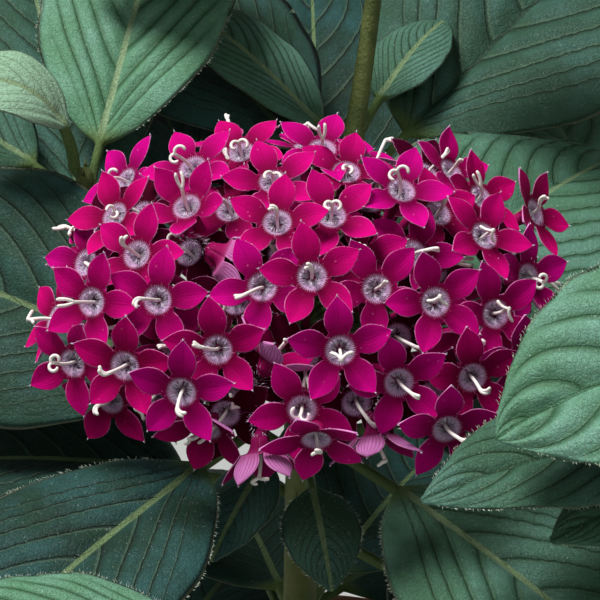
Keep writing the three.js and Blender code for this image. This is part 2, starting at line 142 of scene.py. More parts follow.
def bezier(corners, count):
    t = np.linspace(0, 1, count)[:, None]
    a, b, c, d = corners
    return a * (1 - t) ** 3 + 3 * b * t * (1 - t) ** 2 + 3 * c * t * t * (1 - t) + d * t ** 3


def tube(path, radii, sides):
    """Points and faces of a round tube along a path, with a flat start and end."""
    path = np.asarray(path, float)
    along = unit(np.gradient(path, axis=0))
    spoke = np.cross(along[0], [0.3, 0.5, 0.8])
    angles = np.arange(sides) * 2 * np.pi / sides
    rings = []
    for centre, axis, radius in zip(path, along, np.broadcast_to(radii, len(path))):
        spoke = unit(spoke - axis * (spoke @ axis))
        cross = np.cross(axis, spoke)
        rings.append(centre + radius * (np.outer(np.cos(angles), spoke) + np.outer(np.sin(angles), cross)))
    return np.concatenate(rings), skin_faces(len(path), sides)


def hairs(roots, ways, lengths, widths):
    """Points and faces of many thin cones."""
    ways = unit(ways)
    side = unit(np.cross(ways, ways[:, [1, 2, 0]] + [0.31, 0.17, 0.59]))
    cross = np.cross(ways, side)
    corners = []
    for angle in (0, 2 * np.pi / 3, 4 * np.pi / 3):
        corners.append(roots + widths[:, None] / 2 * (math.cos(angle) * side + math.sin(angle) * cross))
    corners.append(roots + lengths[:, None] * ways)
    points = np.stack(corners, axis=1).reshape(-1, 3)
    faces = []
    for i in range(0, 4 * len(roots), 4):
        faces += [[i, i + 1, i + 3], [i + 1, i + 2, i + 3], [i + 2, i, i + 3], [i + 2, i + 1, i]]
    return points, faces


# %% [markdown]
# ## A short way to lay out shader nodes
#
# `put` adds one node, and feeds each of its sockets with a number, a colour or another
# node's output. The small functions after it are the sums and mixes that every finish uses.
# An output knows which tree it belongs to, so most of them needn't be told.

# %% Node helpers
def feed(tree, socket, value):
    """Link another node's output to a socket, or set the socket to a number or a colour."""
    if isinstance(value, bpy.types.NodeSocket):
        tree.links.new(value, socket)
    else:
        socket.default_value = value


def put(tree, kind, feeds=(), **settings):
    node = tree.nodes.new(kind)
    for name, value in settings.items():
        setattr(node, name, value)
    for socket, value in dict(feeds).items():
        feed(tree, node.inputs[socket], value)
    return node


def maths(operation, *values):
    """A sum of outputs and numbers, in the tree that the outputs belong to."""
    tree = next(value.id_data for value in values if isinstance(value, bpy.types.NodeSocket))
    return put(tree, "ShaderNodeMath", enumerate(values), operation=operation).outputs[0]


def times(a, b):
    return maths("MULTIPLY", a, b)


def times_plus(a, b, more):
    return maths("MULTIPLY_ADD", a, b, more)


def blend(mask, under, over):
    """One colour laid over another by a mask."""
    feeds = {0: mask, 6: under, 7: over}
    return put(mask.id_data, "ShaderNodeMix", feeds, data_type="RGBA").outputs[2]


def mark_of(tree, name):
    return put(tree, "ShaderNodeAttribute", attribute_name=name).outputs["Fac"]


def ramp(value, low, high):
    """0 to 1 as the value goes from low to high, softly; low may be the greater."""
    feeds = {"Value": value, "From Min": low, "From Max": high}
    return put(value.id_data, "ShaderNodeMapRange", feeds, interpolation_type="SMOOTHSTEP").outputs[0]


def rgb(red, green, blue):
    """A colour given as on a screen, 0 to 255, as the shader needs it."""
    return tuple((c / 255) ** 2.2 for c in (red, green, blue)) + (1.0,)


def finish(name, feeds, bump_depth=0.0003):
    """A material with a Principled shader; feeds gives its sockets, and the height of its bump."""
    material = bpy.data.materials.new(name)
    material.use_nodes = True
    tree = material.node_tree
    shader = tree.nodes["Principled BSDF"]
    made = feeds(tree)
    if "Height" in made:
        bump = {"Height": made.pop("Height"), "Distance": bump_depth, "Strength": 1.0}
        made["Normal"] = put(tree, "ShaderNodeBump", bump).outputs[0]
    for socket, value in made.items():
        feed(tree, shader.inputs[socket], value)
    return material


# %% [markdown]
# ## Effects that several finishes share
#
# Petals, leaves, stems, clay and soil all vary slowly from place to place, and most of them have a fine
# grain and small specks: painted glints of hairs on leaves and petals, and mineral grains in the clay.
# Each effect is a node group, built once. It gives only a mask, and each finish decides what the mask
# does.

# %% Shared effects
def effect(name, inputs, build):
    group = bpy.data.node_groups.new(name, "ShaderNodeTree")
    for socket, value in inputs.items():
        made = group.interface.new_socket(name=socket, in_out="INPUT", socket_type="NodeSocketFloat")
        made.default_value = value
    group.interface.new_socket(name="Mask", in_out="OUTPUT", socket_type="NodeSocketFloat")
    given = group.nodes.new("NodeGroupInput")
    out = group.nodes.new("NodeGroupOutput")
    where = put(group, "ShaderNodeTexCoord").outputs["Object"]
    group.links.new(build(group, where, given.outputs), out.inputs["Mask"])
    return group


def build_blotches(tree, where, given):
    feeds = {"Vector": where, "Scale": given["Scale"], "Detail": 3.0, "Roughness": 0.6}
    noise = put(tree, "ShaderNodeTexNoise", feeds).outputs[0]
    return ramp(noise, 0.35, 0.68)


def build_grain(tree, where, given):
    feeds = {"Vector": where, "Scale": given["Scale"], "Detail": 5.0, "Roughness": 0.65}
    return put(tree, "ShaderNodeTexNoise", feeds).outputs[0]


def build_specks(tree, where, given):
    feeds = {"Vector": where, "Scale": given["Scale"], "Randomness": 1.0}
    cell = put(tree, "ShaderNodeTexVoronoi", feeds)
    dot = ramp(cell.outputs["Distance"], given["Size"], 0.0)
    chosen = put(tree, "ShaderNodeSeparateColor", {0: cell.outputs["Color"]}).outputs[0]
    return times(dot, maths("LESS_THAN", chosen, given["Share"]))


BLOTCHES = effect("slow_blotches", {"Scale": 60.0}, build_blotches)
GRAIN = effect("fine_grain", {"Scale": 1500.0}, build_grain)
SPECKS = effect("pale_specks", {"Scale": 900.0, "Size": 0.3, "Share": 0.3}, build_specks)


def use(tree, group, **values):
    node = put(tree, "ShaderNodeGroup", node_tree=group)
    for socket, value in values.items():
        node.inputs[socket].default_value = value
    return node.outputs["Mask"]


print("shared effects:", [g.name for g in bpy.data.node_groups])

# %% [markdown]
# ## The stems
#
# The plant has one stem that flowers and six leafy ones. Each leaves the soil upright and
# bends over to its top, which a Bezier curve with four corners does well. The solid model
# uses the same four corners, so the fine stem lies exactly where the plain one is.

# %% Where the stems run
SEAT = 0.3
SOIL_CROWN = 96
SOIL_EDGE = 92
ROOT_DEPTH = 24
STEMS = {
    "main_stem": ((0, 0), (0, 0, 203.7), (3.6, 2.0)),
    "right_stem": ((36, -12), (84, -25, 240), (3.0, 1.3)),
    "left_stem": ((-27, 20), (-35, 42, 215), (2.8, 1.3)),
    "back_stem": ((-2, 34), (13, 73, 236), (3.0, 1.3)),
    "far_right_stem": ((32, 16), (68, 26, 200), (2.6, 1.3)),
    "near_left_stem": ((-30, -16), (-68, -30, 184), (2.6, 1.3)),
    "near_stem": ((8, -33), (-4, -60, 206), (2.6, 1.3)),
}
UPRIGHT, LEANING = 0.4, 0.3


def stem_path(name, count):
    (x, y), top, _ = STEMS[name]
    start, end = np.array([x, y, SOIL_CROWN], float), np.array(top, float)
    height = end[2] - start[2]
    lean = unit(end - start)
    corners = (start, start + UP * height * UPRIGHT, end - lean * height * LEANING, end)
    return bezier(corners, count)


def stem_place(name, height):
    """The point of a stem at a height, its direction there and its radius."""
    path = stem_path(name, 2001)
    i = int(np.searchsorted(path[:, 2], height))
    i = min(max(i, 1), len(path) - 2)
    low, high = STEMS[name][2]
    return path[i], unit(path[i + 1] - path[i - 1]), low + (high - low) * i / 2000


print("the tallest stem ends at", max(top[2] for _, top, _ in STEMS.values()), "mm")

# %% [markdown]
# ## The leaves: where each one grows
#
# Pentas leaves grow in pairs, on short stalks. Under the name of its stem, each row gives the
# height of the node, the azimuth, the pitch at which the leaf leaves, how far its tip has
# turned down, the lengths of stalk and blade, the width, the roll of the blade, the sideways
# bend, and last how pale the leaf is: young leaves are light, old ones a deep blue-green.

# %% The leaves, as on the plain model, with their paleness
LEAF_ROWS = [
    ("main_stem", [
        (201, -130, 4, 26, 20, 76, 38, 0, 0, 0.02), (201, 50, 8, 25, 16, 72, 44, 12, 4, 0.60),
        (195.5, -50, 6, 28, 20, 74, 40, 0, 4, 0.42), (195.5, 106, 8, 22, 22, 82, 27, 0, 0, 0.00),
        (190, 151, 19, 34, 20, 72, 44, -30, 4, 0.08), (193, 10, 6, 26, 14, 46, 36, 0, 0, 0.02),
        (182, 168, 4, 30, 16, 56, 34, 0, 0, 0.00), (176, -40, 4, 34, 16, 46, 28, 0, 0, 0.00),
        (197, -118, -2, 34, 8, 19, 11, 0, 0, 0.05), (192.4, -80, -2, 32, 8, 18, 12, 0, 0, 0.20),
        (158, -95, 10, 40, 8, 28, 24, 0, 0, 0.00), (147, 110, 10, 40, 14, 40, 24, 0, 0, 0.05),
    ]),
    ("right_stem", [
        (234, -160, 11, 38, 10, 49, 35, -18, 0, 0.85), (214, -159, 15, 28, 12, 48, 22, -6, 0, 0.34),
        (236, 25, 18, 46, 10, 52, 26, 0, 0, 0.75), (205, -150, 14, 24, 8, 30, 15, -10, 0, 0.65),
        (208, 20, 10, 44, 14, 62, 32, 0, 0, 0.30), (172, -50, 6, 44, 16, 60, 30, 0, 0, 0.15),
        (140, -8, 4, 40, 14, 52, 28, 0, 0, 0.08),
    ]),
    ("left_stem", [
        (211, 78, 28, 22, 8, 66, 33, 0, 0, 0.92), (214, 174, 90, 160, 9, 26, 13, -15, 0, 1.00),
        (209, 144, 18, 30, 10, 50, 26, 0, 0, 0.30), (197, 103, 24, 24, 12, 66, 36, 0, 0, 0.20),
        (178, 120, 10, 40, 14, 62, 32, 0, 0, 0.10), (140, 165, 4, 40, 14, 54, 30, 0, 0, 0.05),
    ]),
    ("back_stem", [
        (204, 132, 24, 34, 6, 44, 16, 0, 0, 0.50), (207.8, 60, 24, 34, 7, 25, 13, 0, 0, 0.40),
        (233, 178, 20, 44, 6, 44, 20, 0, 0, 0.70), (233, -2, 20, 44, 6, 44, 20, 0, 0, 0.70),
        (198.7, 46, 19.8, 14, 14, 84, 56, 8, 6, 0.20), (197.8, 126, 14, 20, 12, 72, 40, 0, 0, 0.06),
        (180, 125, 19, 30, 12, 66, 40, 0, 0, 0.02), (172.4, 91, 22, 25, 14, 82, 46, 0, 0, 0.02),
    ]),
    ("far_right_stem", [
        (197, 4, 12, 40, 12, 62, 34, 0, 0, 0.25), (184, 101, 11, 28, 14, 72, 42, 0, 0, 0.72),
        (154, 10, 8, 44, 14, 56, 30, 0, 0, 0.10),
    ]),
    ("near_left_stem", [
        (181, 175, 14, 40, 12, 58, 32, 0, 0, 0.25), (181, -100, 14, 44, 12, 56, 30, 0, 0, 0.45),
        (146, -160, 6, 44, 14, 56, 30, 0, 0, 0.10),
    ]),
    ("near_stem", [
        (203, 176, 16, 40, 8, 46, 20, 0, 0, 0.90), (203, -14, 12, 44, 10, 56, 28, 0, 0, 0.30),
        (130, -90, 4, 40, 14, 54, 30, 0, 0, 0.10),
    ]),
    ("main_stem", [(134, -56, 8, 44, 22, 46, 22, 0, 0, 0.05)]),
    ("near_left_stem", [(122, 150, 8, 50, 12, 48, 28, 0, 0, 0.05)]),
    ("far_right_stem", [(121, 80, 4, 46, 12, 46, 28, 0, 0, 0.05)]),
    ("left_stem", [(118, 64, 8, 46, 12, 50, 34, 0, 0, 0.05)]),
    ("back_stem", [(122, 36, 8, 40, 8, 50, 42, 0, 0, 0.05)]),
    ("right_stem", [(116, -62, 8, 50, 12, 46, 26, 0, 0, 0.05)]),
    ("main_stem", [
        (151, 108, 9, 30, 8, 30, 34, 0, 0, 0.00), (155.5, 60, 9, 30, 8, 46, 36, 0, 0, 0.00),
    ]),
]
LEAVES = [(stem, *row) for stem, rows in LEAF_ROWS for row in rows]
FINE_LEAVES = {1, 3, 5, 13, 14, 16, 20, 21, 26, 27, 30, 38, 40}  # near the head, with finer meshes
print(len(LEAVES), "leaves, with finer meshes for", len(FINE_LEAVES))

# %% [markdown]
# ## The leaf finish: where the veins are
#
# The side veins could be painted on an image. Here each point of the mesh carries a `phase`
# that grows by one from vein to vein, so the shader draws sharp veins at any size. The
# smallest veins make a net: the edges of random cells, whose places wander a little.

# %% Masks of the veins
VEIN_STEP = 0.105  # from one side vein to the next, as a share of the blade
WIDE_VEIN_STEPS = {13: 0.17, 14: 0.15, 20: 0.125, 21: 0.16, 40: 0.14}  # on leaves with wide folds


def vein_masks(tree):
    """The side veins, the hollows along them for painted shade, their lit flanks for a painted highlight,
    the midrib and the margin.
    """
    across = maths("ABSOLUTE", mark_of(tree, "across"))
    share = maths("FRACT", mark_of(tree, "phase"))
    nearest = maths("MINIMUM", share, maths("SUBTRACT", 1.0, share))
    fade = times(ramp(across, 1.0, 0.7), mark_of(tree, "veined"))
    vein = times(ramp(nearest, 0.045, 0.012), fade)
    hollow = times(ramp(nearest, 0.3, 0.0), fade)
    lit_flank = times(times(ramp(share, 0.03, 0.07), ramp(share, 0.2, 0.07)), fade)
    rib = ramp(mark_of(tree, "off_rib"), 0.72, 0.5)
    return vein, hollow, lit_flank, rib, ramp(across, 0.972, 0.994)


def vein_net(tree):
    where = put(tree, "ShaderNodeTexCoord").outputs["Object"]
    wander = put(tree, "ShaderNodeTexNoise", {"Vector": where, "Scale": 300.0}).outputs["Color"]
    bent = {0: wander, 1: (0.0016, 0.0016, 0.0016), 2: where}
    feeds = {
        "Vector": put(tree, "ShaderNodeVectorMath", bent, operation="MULTIPLY_ADD").outputs[0],
        "Scale": 800.0,
    }
    cells = put(tree, "ShaderNodeTexVoronoi", feeds, feature="DISTANCE_TO_EDGE")
    return ramp(cells.outputs["Distance"], 0.16, 0.0)


print("a leaf has about", round(1 / VEIN_STEP), "side veins on each side")

# %% [markdown]
# ## The leaf finish: its colours
#
# The upper face is satin and blue-green, with painted shade in the hollows over its sunken veins, painted
# highlights on their lit flanks, a pale midrib, and a fine pale down with painted shimmer and painted
# glints of short hairs. The lower face is paler and duller, with raised ribs. A mark gives each leaf's
# paleness, so that one material serves the old leaves and the young ones.

# %% The leaf material
def upper_face(tree, pale, felt_and_shimmer, net, crisp, masks):
    _, hollow, lit_flank, rib, rim = masks
    blotch = use(tree, BLOTCHES, Scale=70.0)
    cloud = use(tree, BLOTCHES, Scale=210.0)
    specks = use(tree, SPECKS, Scale=1900.0, Size=0.3, Share=0.06)
    old = blend(blotch, rgb(14, 48, 38), rgb(38, 80, 78))
    old = blend(times(cloud, 0.4), old, rgb(16, 58, 30))
    young = blend(blotch, rgb(94, 146, 108), rgb(122, 172, 146))
    face = blend(pale, old, young)
    dark = blend(pale, rgb(4, 30, 12), rgb(34, 84, 40))
    # painted shade in the hollows over the side veins
    face = blend(times(hollow, times_plus(pale, 0.25, 0.6)), face, dark)
    face = blend(times(net, 0.12), face, dark)
    face = blend(crisp, face, dark)
    # painted highlight on the lit flank of each swell between the veins
    face = blend(times(lit_flank, 0.16), face, rgb(132, 168, 132))
    # a fine pale down, partly real and partly painted shimmer
    face = blend(times_plus(pale, 0.34, 0.06), face, blend(felt_and_shimmer, face, rgb(186, 214, 206)))
    # painted glints of short hairs
    face = blend(times(specks, times_plus(pale, 0.5, 0.25)), face, rgb(206, 226, 222))
    budding = times(ramp(pale, 0.9, 1.0), 0.75)
    face = blend(budding, face, rgb(164, 200, 166))
    face = blend(times(rib, 0.6), face, dark)
    bright_rib = blend(pale, rgb(96, 118, 78), rgb(136, 162, 122))
    face = blend(times(rib, mark_of(tree, "bright_rib")), face, bright_rib)
    return blend(times(rim, 0.65), face, rgb(172, 180, 144))


def leaf_feeds(tree):
    pale, under = mark_of(tree, "paleness"), mark_of(tree, "under")
    masks = vein_masks(tree)
    vein, rib = masks[0], masks[3]
    net = vein_net(tree)
    grain = use(tree, GRAIN, Scale=2600.0)
    felt_and_shimmer = ramp(use(tree, GRAIN, Scale=5200.0), 0.5, 0.72)
    crisp = times(vein, times_plus(pale, -0.5, 0.75))

    back = blend(pale, rgb(70, 104, 80), rgb(132, 166, 122))
    back = blend(maths("MAXIMUM", times(vein, 0.6), rib), back, rgb(142, 164, 112))
    colour = blend(under, upper_face(tree, pale, felt_and_shimmer, net, crisp, masks), back)
    colour = blend(mark_of(tree, "stalk"), colour, rgb(88, 112, 58))

    relief = times_plus(net, -0.1, times(crisp, -0.8))
    relief = times_plus(felt_and_shimmer, 0.22, relief)
    return {
        "Base Color": colour,
        "Roughness": times_plus(grain, 0.25, times_plus(under, 0.2, 0.42)),
        "Specular IOR Level": 0.3,
        "Sheen Weight": 0.04,
        "Sheen Roughness": 0.4,
        "Sheen Tint": rgb(200, 226, 236),
        "Height": times_plus(grain, 0.3, relief),
    }


LEAF = finish("veined_leaf", leaf_feeds, bump_depth=0.0005)

# %% [markdown]
# ## The leaf blade: its midrib and outline
#
# A blade is lofted: at each station along the midrib a closed ring of points goes over the
# upper face and back under the lower one. So the midrib comes first. It leaves the stem at
# its own pitch, turns down more and more, and carries the ways to its side and over it. The
# blade is broadest a little below the middle, and its side veins arch forward.

# %% The midrib and the outline
RIB_STEPS = 160
VEIN_ARCH = 0.62
BLUNT, SHARP = 0.75, 0.9  # how the outline opens at the blade's foot and closes at its tip


def leaf_spine(base, row, share):
    """The midrib at shares of the leaf's length, its end, and the ways to its side and over it."""
    azimuth, rise, droop, stalk, blade, _, roll, bend = row[2:10]
    length = stalk + blade
    middle = (np.arange(RIB_STEPS) + 0.5) / RIB_STEPS
    ways = direction(azimuth + bend * middle, rise - droop * middle ** 1.5)
    rib = np.concatenate([base[None], base + np.cumsum(ways * length / RIB_STEPS, axis=0)])
    steps = np.linspace(0, 1, RIB_STEPS + 1)
    centre = np.stack([np.interp(share, steps, rib[:, i]) for i in range(3)], -1)
    heading = direction(azimuth + bend * share, rise - droop * share ** 1.5)
    level = direction(azimuth + bend * share + 90, 0)
    tilt = np.radians(roll * ease(0, stalk / length, share))[:, None]
    over = np.cross(heading, level)
    side = level * np.cos(tilt) + over * np.sin(tilt)
    return centre, rib[-1], side, over * np.cos(tilt) - level * np.sin(tilt)


def blade_half(width, share):
    """Half the width at a share of the blade's length."""
    broadest = BLUNT / (BLUNT + SHARP)
    return width / 2 * (share / broadest) ** BLUNT * ((1 - share) / (1 - broadest)) ** SHARP


def vein_start(along, across):
    """Where on the midrib the side vein through a point begins."""
    return along - VEIN_ARCH * np.abs(across) ** 1.45 * (1.15 - along) ** 0.35


print("a 40 mm wide blade is", round(blade_half(40, 0.1), 1), "mm from rib to margin near its foot")

# %% [markdown]
# ## The leaf blade: its relief
#
# The blade swells up between its side veins, more on young leaves, and its margin waves. A
# bump in the shader would leave the outline flat, so this is real relief. It is worked out
# as a height over a shallow V, for all stations and columns at once.

# %% The relief of a blade
USUAL_WIDTH = 40
YOUNG = 0.6  # the paleness from which a leaf is soft and puffed
PUFF, YOUNG_PUFF = 0.6, 1.2
HOLLOW, YOUNG_HOLLOW = 1.7, 2.6  # how wide the hollow over a vein is
FOLD, FOLD_SOFTNESS, TURNED_DOWN = 0.3, 0.0008, 0.26
MARGIN_WAVE, CRUMPLE = 0.5, 0.12
SHADED_RIBS = {13, 14, 16, 30}  # leaves whose midrib is sunken and dark
RIB_DIP, SHADED_RIB_DIP, DIP_WIDTH = 0.1, 0.4, 0.9


def blade_relief(number, row, along, across, half, wave):
    """The height of the face over the midrib, and the phase and strength of its side veins."""
    blade, width, pale = row[6], row[7], row[10]
    q = np.abs(across)
    start = vein_start(along[:, None], across)
    step = WIDE_VEIN_STEPS.get(number, VEIN_STEP)
    phase = start / step + 0.25 * np.sign(across)
    veined = ease(-0.2, -0.1, start)
    part = phase - np.floor(phase)
    off_vein = np.minimum(part, 1 - part) * step * blade
    puff, hollow = (YOUNG_PUFF, YOUNG_HOLLOW) if pale > YOUNG else (PUFF, HOLLOW)
    relief = 1 - veined * np.exp(-(off_vein / hollow) ** 2)
    relief = width / USUAL_WIDTH * puff * relief * ease(0, 0.14, q) * (1 - 0.55 * q ** 3)
    relief += MARGIN_WAVE * np.sin(17 * along + wave)[:, None] * q ** 3 * width / USUAL_WIDTH
    relief += CRUMPLE * np.sin(27.9 * q + 2.1 * phase) * q * (1 - q)
    dip = SHADED_RIB_DIP if number in SHADED_RIBS else RIB_DIP
    relief -= dip * np.exp(-(half * q / DIP_WIDTH) ** 2) * (1 - along[:, None])
    fold = half * (FOLD * np.sqrt(q * q + FOLD_SOFTNESS) - TURNED_DOWN * q * q)
    return fold + relief * ease(1.0, 0.9, along)[:, None], phase, veined


print("young leaves:", [i for i, row in enumerate(LEAVES, 1) if row[10] > YOUNG])

# %% [markdown]
# ## The leaf blade: the rings
#
# On the stalk each ring is a small circle. Over the first part of the blade it opens into a
# flat section, 0.4 mm thick, with the midrib's keel below. Each ring has as many points as
# the others, so the skin over them is closed from the stem to the tip.

# %% Making the leaves
FINE_GRID, PLAIN_GRID = (112, 18), (56, 11)  # stations, and columns on each side of the rib
STALK_STATIONS = 8
UPPER_SKIN, LOWER_SKIN, KEEL, KEEL_TAPER, KEEL_WIDTH = 0.22, 0.2, 1.15, 0.85, 0.8
rng = np.random.default_rng(11)


def ring_mark(values, top):
    """A mark of the upper face's points, carried round each ring and on to the tip."""
    whole = np.broadcast_to(values, top.shape[:2])
    rings = np.concatenate([whole, whole[:, 1:-1][:, ::-1]], axis=1)
    return np.append(rings.ravel(), whole[-1, whole.shape[1] // 2])


def make_leaf(number, row):
    stem, height, azimuth, _, _, stalk, blade, width, _, _, pale = row
    stations, columns = FINE_GRID if number in FINE_LEAVES else PLAIN_GRID
    point, grain, radius = stem_place(stem, height)
    out = direction(azimuth, 0)
    out = unit(out - grain * (out @ grain))
    length = stalk + blade
    share = np.concatenate([
        np.linspace(0, stalk / length, STALK_STATIONS, endpoint=False),
        (stalk + blade * np.linspace(0, 1, stations + 1)[:-1] ** 1.05) / length,
    ])
    along = np.clip((share * length - stalk) / blade, 0, 1)
    centre, tip, side, over = leaf_spine(point + out * (radius + SEAT), row, share)
    centre[0] -= out * (SEAT + 0.4)  # the stalk's foot goes into the stem

    wave = rng.uniform(0, 6.28)
    petiole = 1.0 - 0.25 * ease(0, 0.5 * stalk / length, share)
    margin = blade_half(width, along) * (1 + 0.012 * np.sin(31 * along + wave))
    half = np.maximum(petiole, margin)[:, None]
    k = np.linspace(1, -1, 2 * columns + 1)
    across = (np.sign(k) * np.abs(k) ** 1.3)[None, :]
    q = np.abs(across)
    relief, phase, veined = blade_relief(number, row, along, across, half, wave)
    opened = ease(0, 0.12, along)[:, None]
    stalk_round = (1 - opened) * np.sqrt(np.clip(1 - q * q, 0, 1))
    keel = (KEEL - KEEL_TAPER * along[:, None]) * np.exp(-(half * q / KEEL_WIDTH) ** 2)
    upper = opened * (relief + UPPER_SKIN * (1 - q ** 4)) + stalk_round
    lower = opened * (relief - LOWER_SKIN * (1 - q ** 4) - keel) - stalk_round

    flat = centre[:, None] + side[:, None] * (half * across)[..., None]
    top = flat + over[:, None] * upper[..., None]
    bottom = (flat + over[:, None] * lower[..., None])[:, 1:-1][:, ::-1]
    rings = np.concatenate([top, bottom], axis=1)
    under = np.zeros(rings.shape[:2])
    under[:, top.shape[1]:] = 1
    heap = Heap()
    heap.add(
        np.concatenate([rings.reshape(-1, 3), tip[None]]),
        skin_faces(len(share), rings.shape[1], pointed=True),
        across=ring_mark(across, top),
        phase=ring_mark(phase + 20, top),
        veined=ring_mark(veined, top),
        off_rib=ring_mark(half * q / (1 - 0.6 * along[:, None]), top),
        bright_rib=float(number not in SHADED_RIBS),
        under=np.append(under.ravel(), 0),
        stalk=ring_mark(1 - ease(0, 0.06, along)[:, None], top),
        paleness=np.clip(pale + rng.uniform(-0.03, 0.03), 0, 1),
    )
    name = f"leaf_{number:02d}"
    heap.piece(f"{name}_blade", LEAF, "leaves", name)
    return {"top": top, "over": over, "side": side, "blade": blade, "along": along}


BLADES = {number: make_leaf(number, row) for number, row in enumerate(LEAVES, 1)}
print("leaf triangles:", sum(TRIANGLES.values()))

# %% [markdown]
# ## The down on the leaves
#
# The margins and faces of the leaves carry short clear hairs, which catch the light as a
# pale edge. Only the nearer leaves get them. Each hair is a closed cone, rooted in the face.

# %% Hairs on margins and faces
HAIRY_LEAVES = {1, 3, 10, 13, 14, 16, 20, 38, 40}
DOWNY_LEAF = 13
MARGIN_HAIRS, FACE_HAIRS, DOWNY_HAIRS = 3.2, 7, 16  # for each millimetre of the blade's length


def down_feeds(tree):
    grain = use(tree, GRAIN, Scale=900.0)
    colour = blend(grain, rgb(186, 206, 176), rgb(232, 240, 224))
    return {"Base Color": colour, "Roughness": 0.35, "Sheen Weight": 0.2}


def margin_hairs(leaf, rows, edge, way):
    """Hairs along one margin; way is 1 for the left margin and -1 for the right one."""
    picks = rng.uniform(0, len(rows) - 1.01, int(leaf["blade"] * MARGIN_HAIRS))
    low = np.floor(picks).astype(int)
    part = (picks - low)[:, None]
    here = rows[low]
    roots = leaf["top"][here, edge] * (1 - part) + leaf["top"][here + 1, edge] * part
    ways = way * leaf["side"][here] + 0.35 * rng.normal(size=roots.shape) + 0.25 * leaf["over"][here]
    lengths = rng.uniform(0.35, 0.8, len(roots))
    return hairs(roots, ways, lengths, rng.uniform(0.06, 0.1, len(roots)))


def face_hairs(leaf, rows, count):
    top, over = leaf["top"], leaf["over"]
    here = rng.choice(rows, count)
    column = rng.integers(2, top.shape[1] - 3, count)
    mixed = rng.uniform(0, 1, (count, 1))
    roots = top[here, column] * mixed + top[here, column + 1] * (1 - mixed) - 0.05 * over[here]
    ways = over[here] + 0.5 * rng.normal(size=roots.shape)
    return hairs(roots, ways, rng.uniform(0.25, 0.5, count), np.full(count, 0.06))


DOWN = finish("leaf_down", down_feeds)
leaf_down = Heap()
for number in sorted(HAIRY_LEAVES):
    leaf = BLADES[number]
    rows = np.flatnonzero((leaf["along"] > 0.04) & (leaf["along"] < 0.97))
    for edge, way in ((0, 1), (leaf["top"].shape[1] - 1, -1)):
        leaf_down.add(*margin_hairs(leaf, rows, edge, way))
    count = int(leaf["blade"] * (DOWNY_HAIRS if number == DOWNY_LEAF else FACE_HAIRS))
    leaf_down.add(*face_hairs(leaf, rows, count))
leaf_down.piece("leaf_down", DOWN, "leaves")
print("leaf down triangles:", TRIANGLES["leaf_down"])

# %% [markdown]
# ## The stems
#
# A stem is green at its top and turns brown and corky towards the soil. It swells a little
# at each node, where a pair of leaves sits with a fringe of stipules, thin as bristles.

# %% The stem finish and the stems
def stem_feeds(tree):
    age = mark_of(tree, "age")
    blotch = use(tree, BLOTCHES, Scale=160.0)
    grain = use(tree, GRAIN, Scale=1400.0)
    green = blend(blotch, rgb(78, 92, 42), rgb(108, 118, 62))
    brown = blend(blotch, rgb(92, 78, 50), rgb(128, 108, 76))
    corky = ramp(times_plus(blotch, 0.2, age), 0.35, 0.95)
    return {
        "Base Color": blend(corky, green, brown),
        "Roughness": times_plus(grain, 0.3, 0.45),
        "Height": grain,
    }


STEM = finish("green_stem", stem_feeds, bump_depth=0.0004)
STEM_RINGS, STEM_SIDES = 90, 16
SWELLING, SWELLING_REACH = 0.16, 1.6
CORKY_BELOW, GREEN_ABOVE = 100, 190
LEAFY_TOP = 0.6  # a leafy stem's end is thinner than the one under the head
BRISTLES, BRISTLE_WIDTH = 7, 0.28


def stem_tube(name, nodes):
    """The stem and its root in the soil, a little thicker at each node."""
    low, high = STEMS[name][2]
    path = stem_path(name, STEM_RINGS)
    radii = low + (high - low) * np.linspace(0, 1, STEM_RINGS)
    for height in nodes:
        radii = radii + SWELLING * np.exp(-((path[:, 2] - height) / SWELLING_REACH) ** 2)
    root = path[0] - UP * (SOIL_CROWN - SOIL_EDGE + ROOT_DEPTH)
    path, radii = np.concatenate([[root], path]), np.concatenate([[low], radii])
    if name != "main_stem":
        radii[-1] *= LEAFY_TOP
    return tube(path, radii, STEM_SIDES)


def stipules(name, height, azimuth):
    """A fringe of bristles on one side of a leaf stalk."""
    point, grain, radius = stem_place(name, height)
    out = direction(azimuth + rng.uniform(-22, 22, BRISTLES), 0)
    roots = point + out * radius * 0.9 + grain * 0.4
    ways = grain + 0.35 * out + 0.1 * rng.normal(size=out.shape)
    return hairs(roots, ways, rng.uniform(1.2, 2.6, BRISTLES), np.full(BRISTLES, BRISTLE_WIDTH))


for name in STEMS:
    rows = [row for row in LEAVES if row[0] == name]
    points, faces = stem_tube(name, [row[1] for row in rows])
    green_share = np.clip((points[:, 2] - CORKY_BELOW) / (GREEN_ABOVE - CORKY_BELOW), 0, 1)
    heap = Heap()
    heap.add(points, faces, age=1 - green_share)
    for row in rows:
        for turn in (-90, 90):
            heap.add(*stipules(name, row[1], row[2] + turn), age=0.0)
    heap.piece(f"{name}_bark", STEM, "stems", name)
print("stems:", [n for n in TRIANGLES if "bark" in n])

# %% [markdown]
# ## The flower head: where each floret opens
#
# The florets open on a dome. On the side towards the light each one has its own place; on
# the shaded side they follow the golden angle, which is how a plant packs many flowers
# without a gap. The first cell holds the numbers, and the next one works out the places as
# the plain model does.

# %% Places of the florets
HEAD_CENTRE = np.array([0.0, 0.0, 220.0])
REACH = np.array([37.0, 36.0, 17.0])
KNOT = np.array([23.0, 22.0, 9.0]) * 0.7
KNOT_DROP = 6
SPACING, CROWD, STOREY = 10.4, 12.5, 1.7
LOWEST, TURNS, SHADE = -0.3, 150, 0.25
GOLDEN_ANGLE = 137.508
TURN_SIDE, TURN_FRONT, TURN_BACK, LIFT = 0.88, 2.0, 0.5, 0.6
LIGHT_ELEVATION = 37
TO_LIGHT = direction(-90, LIGHT_ELEVATION)
RIGHT = np.array([1.0, 0.0, 0.0])
RISING = np.cross(TO_LIGHT, RIGHT)

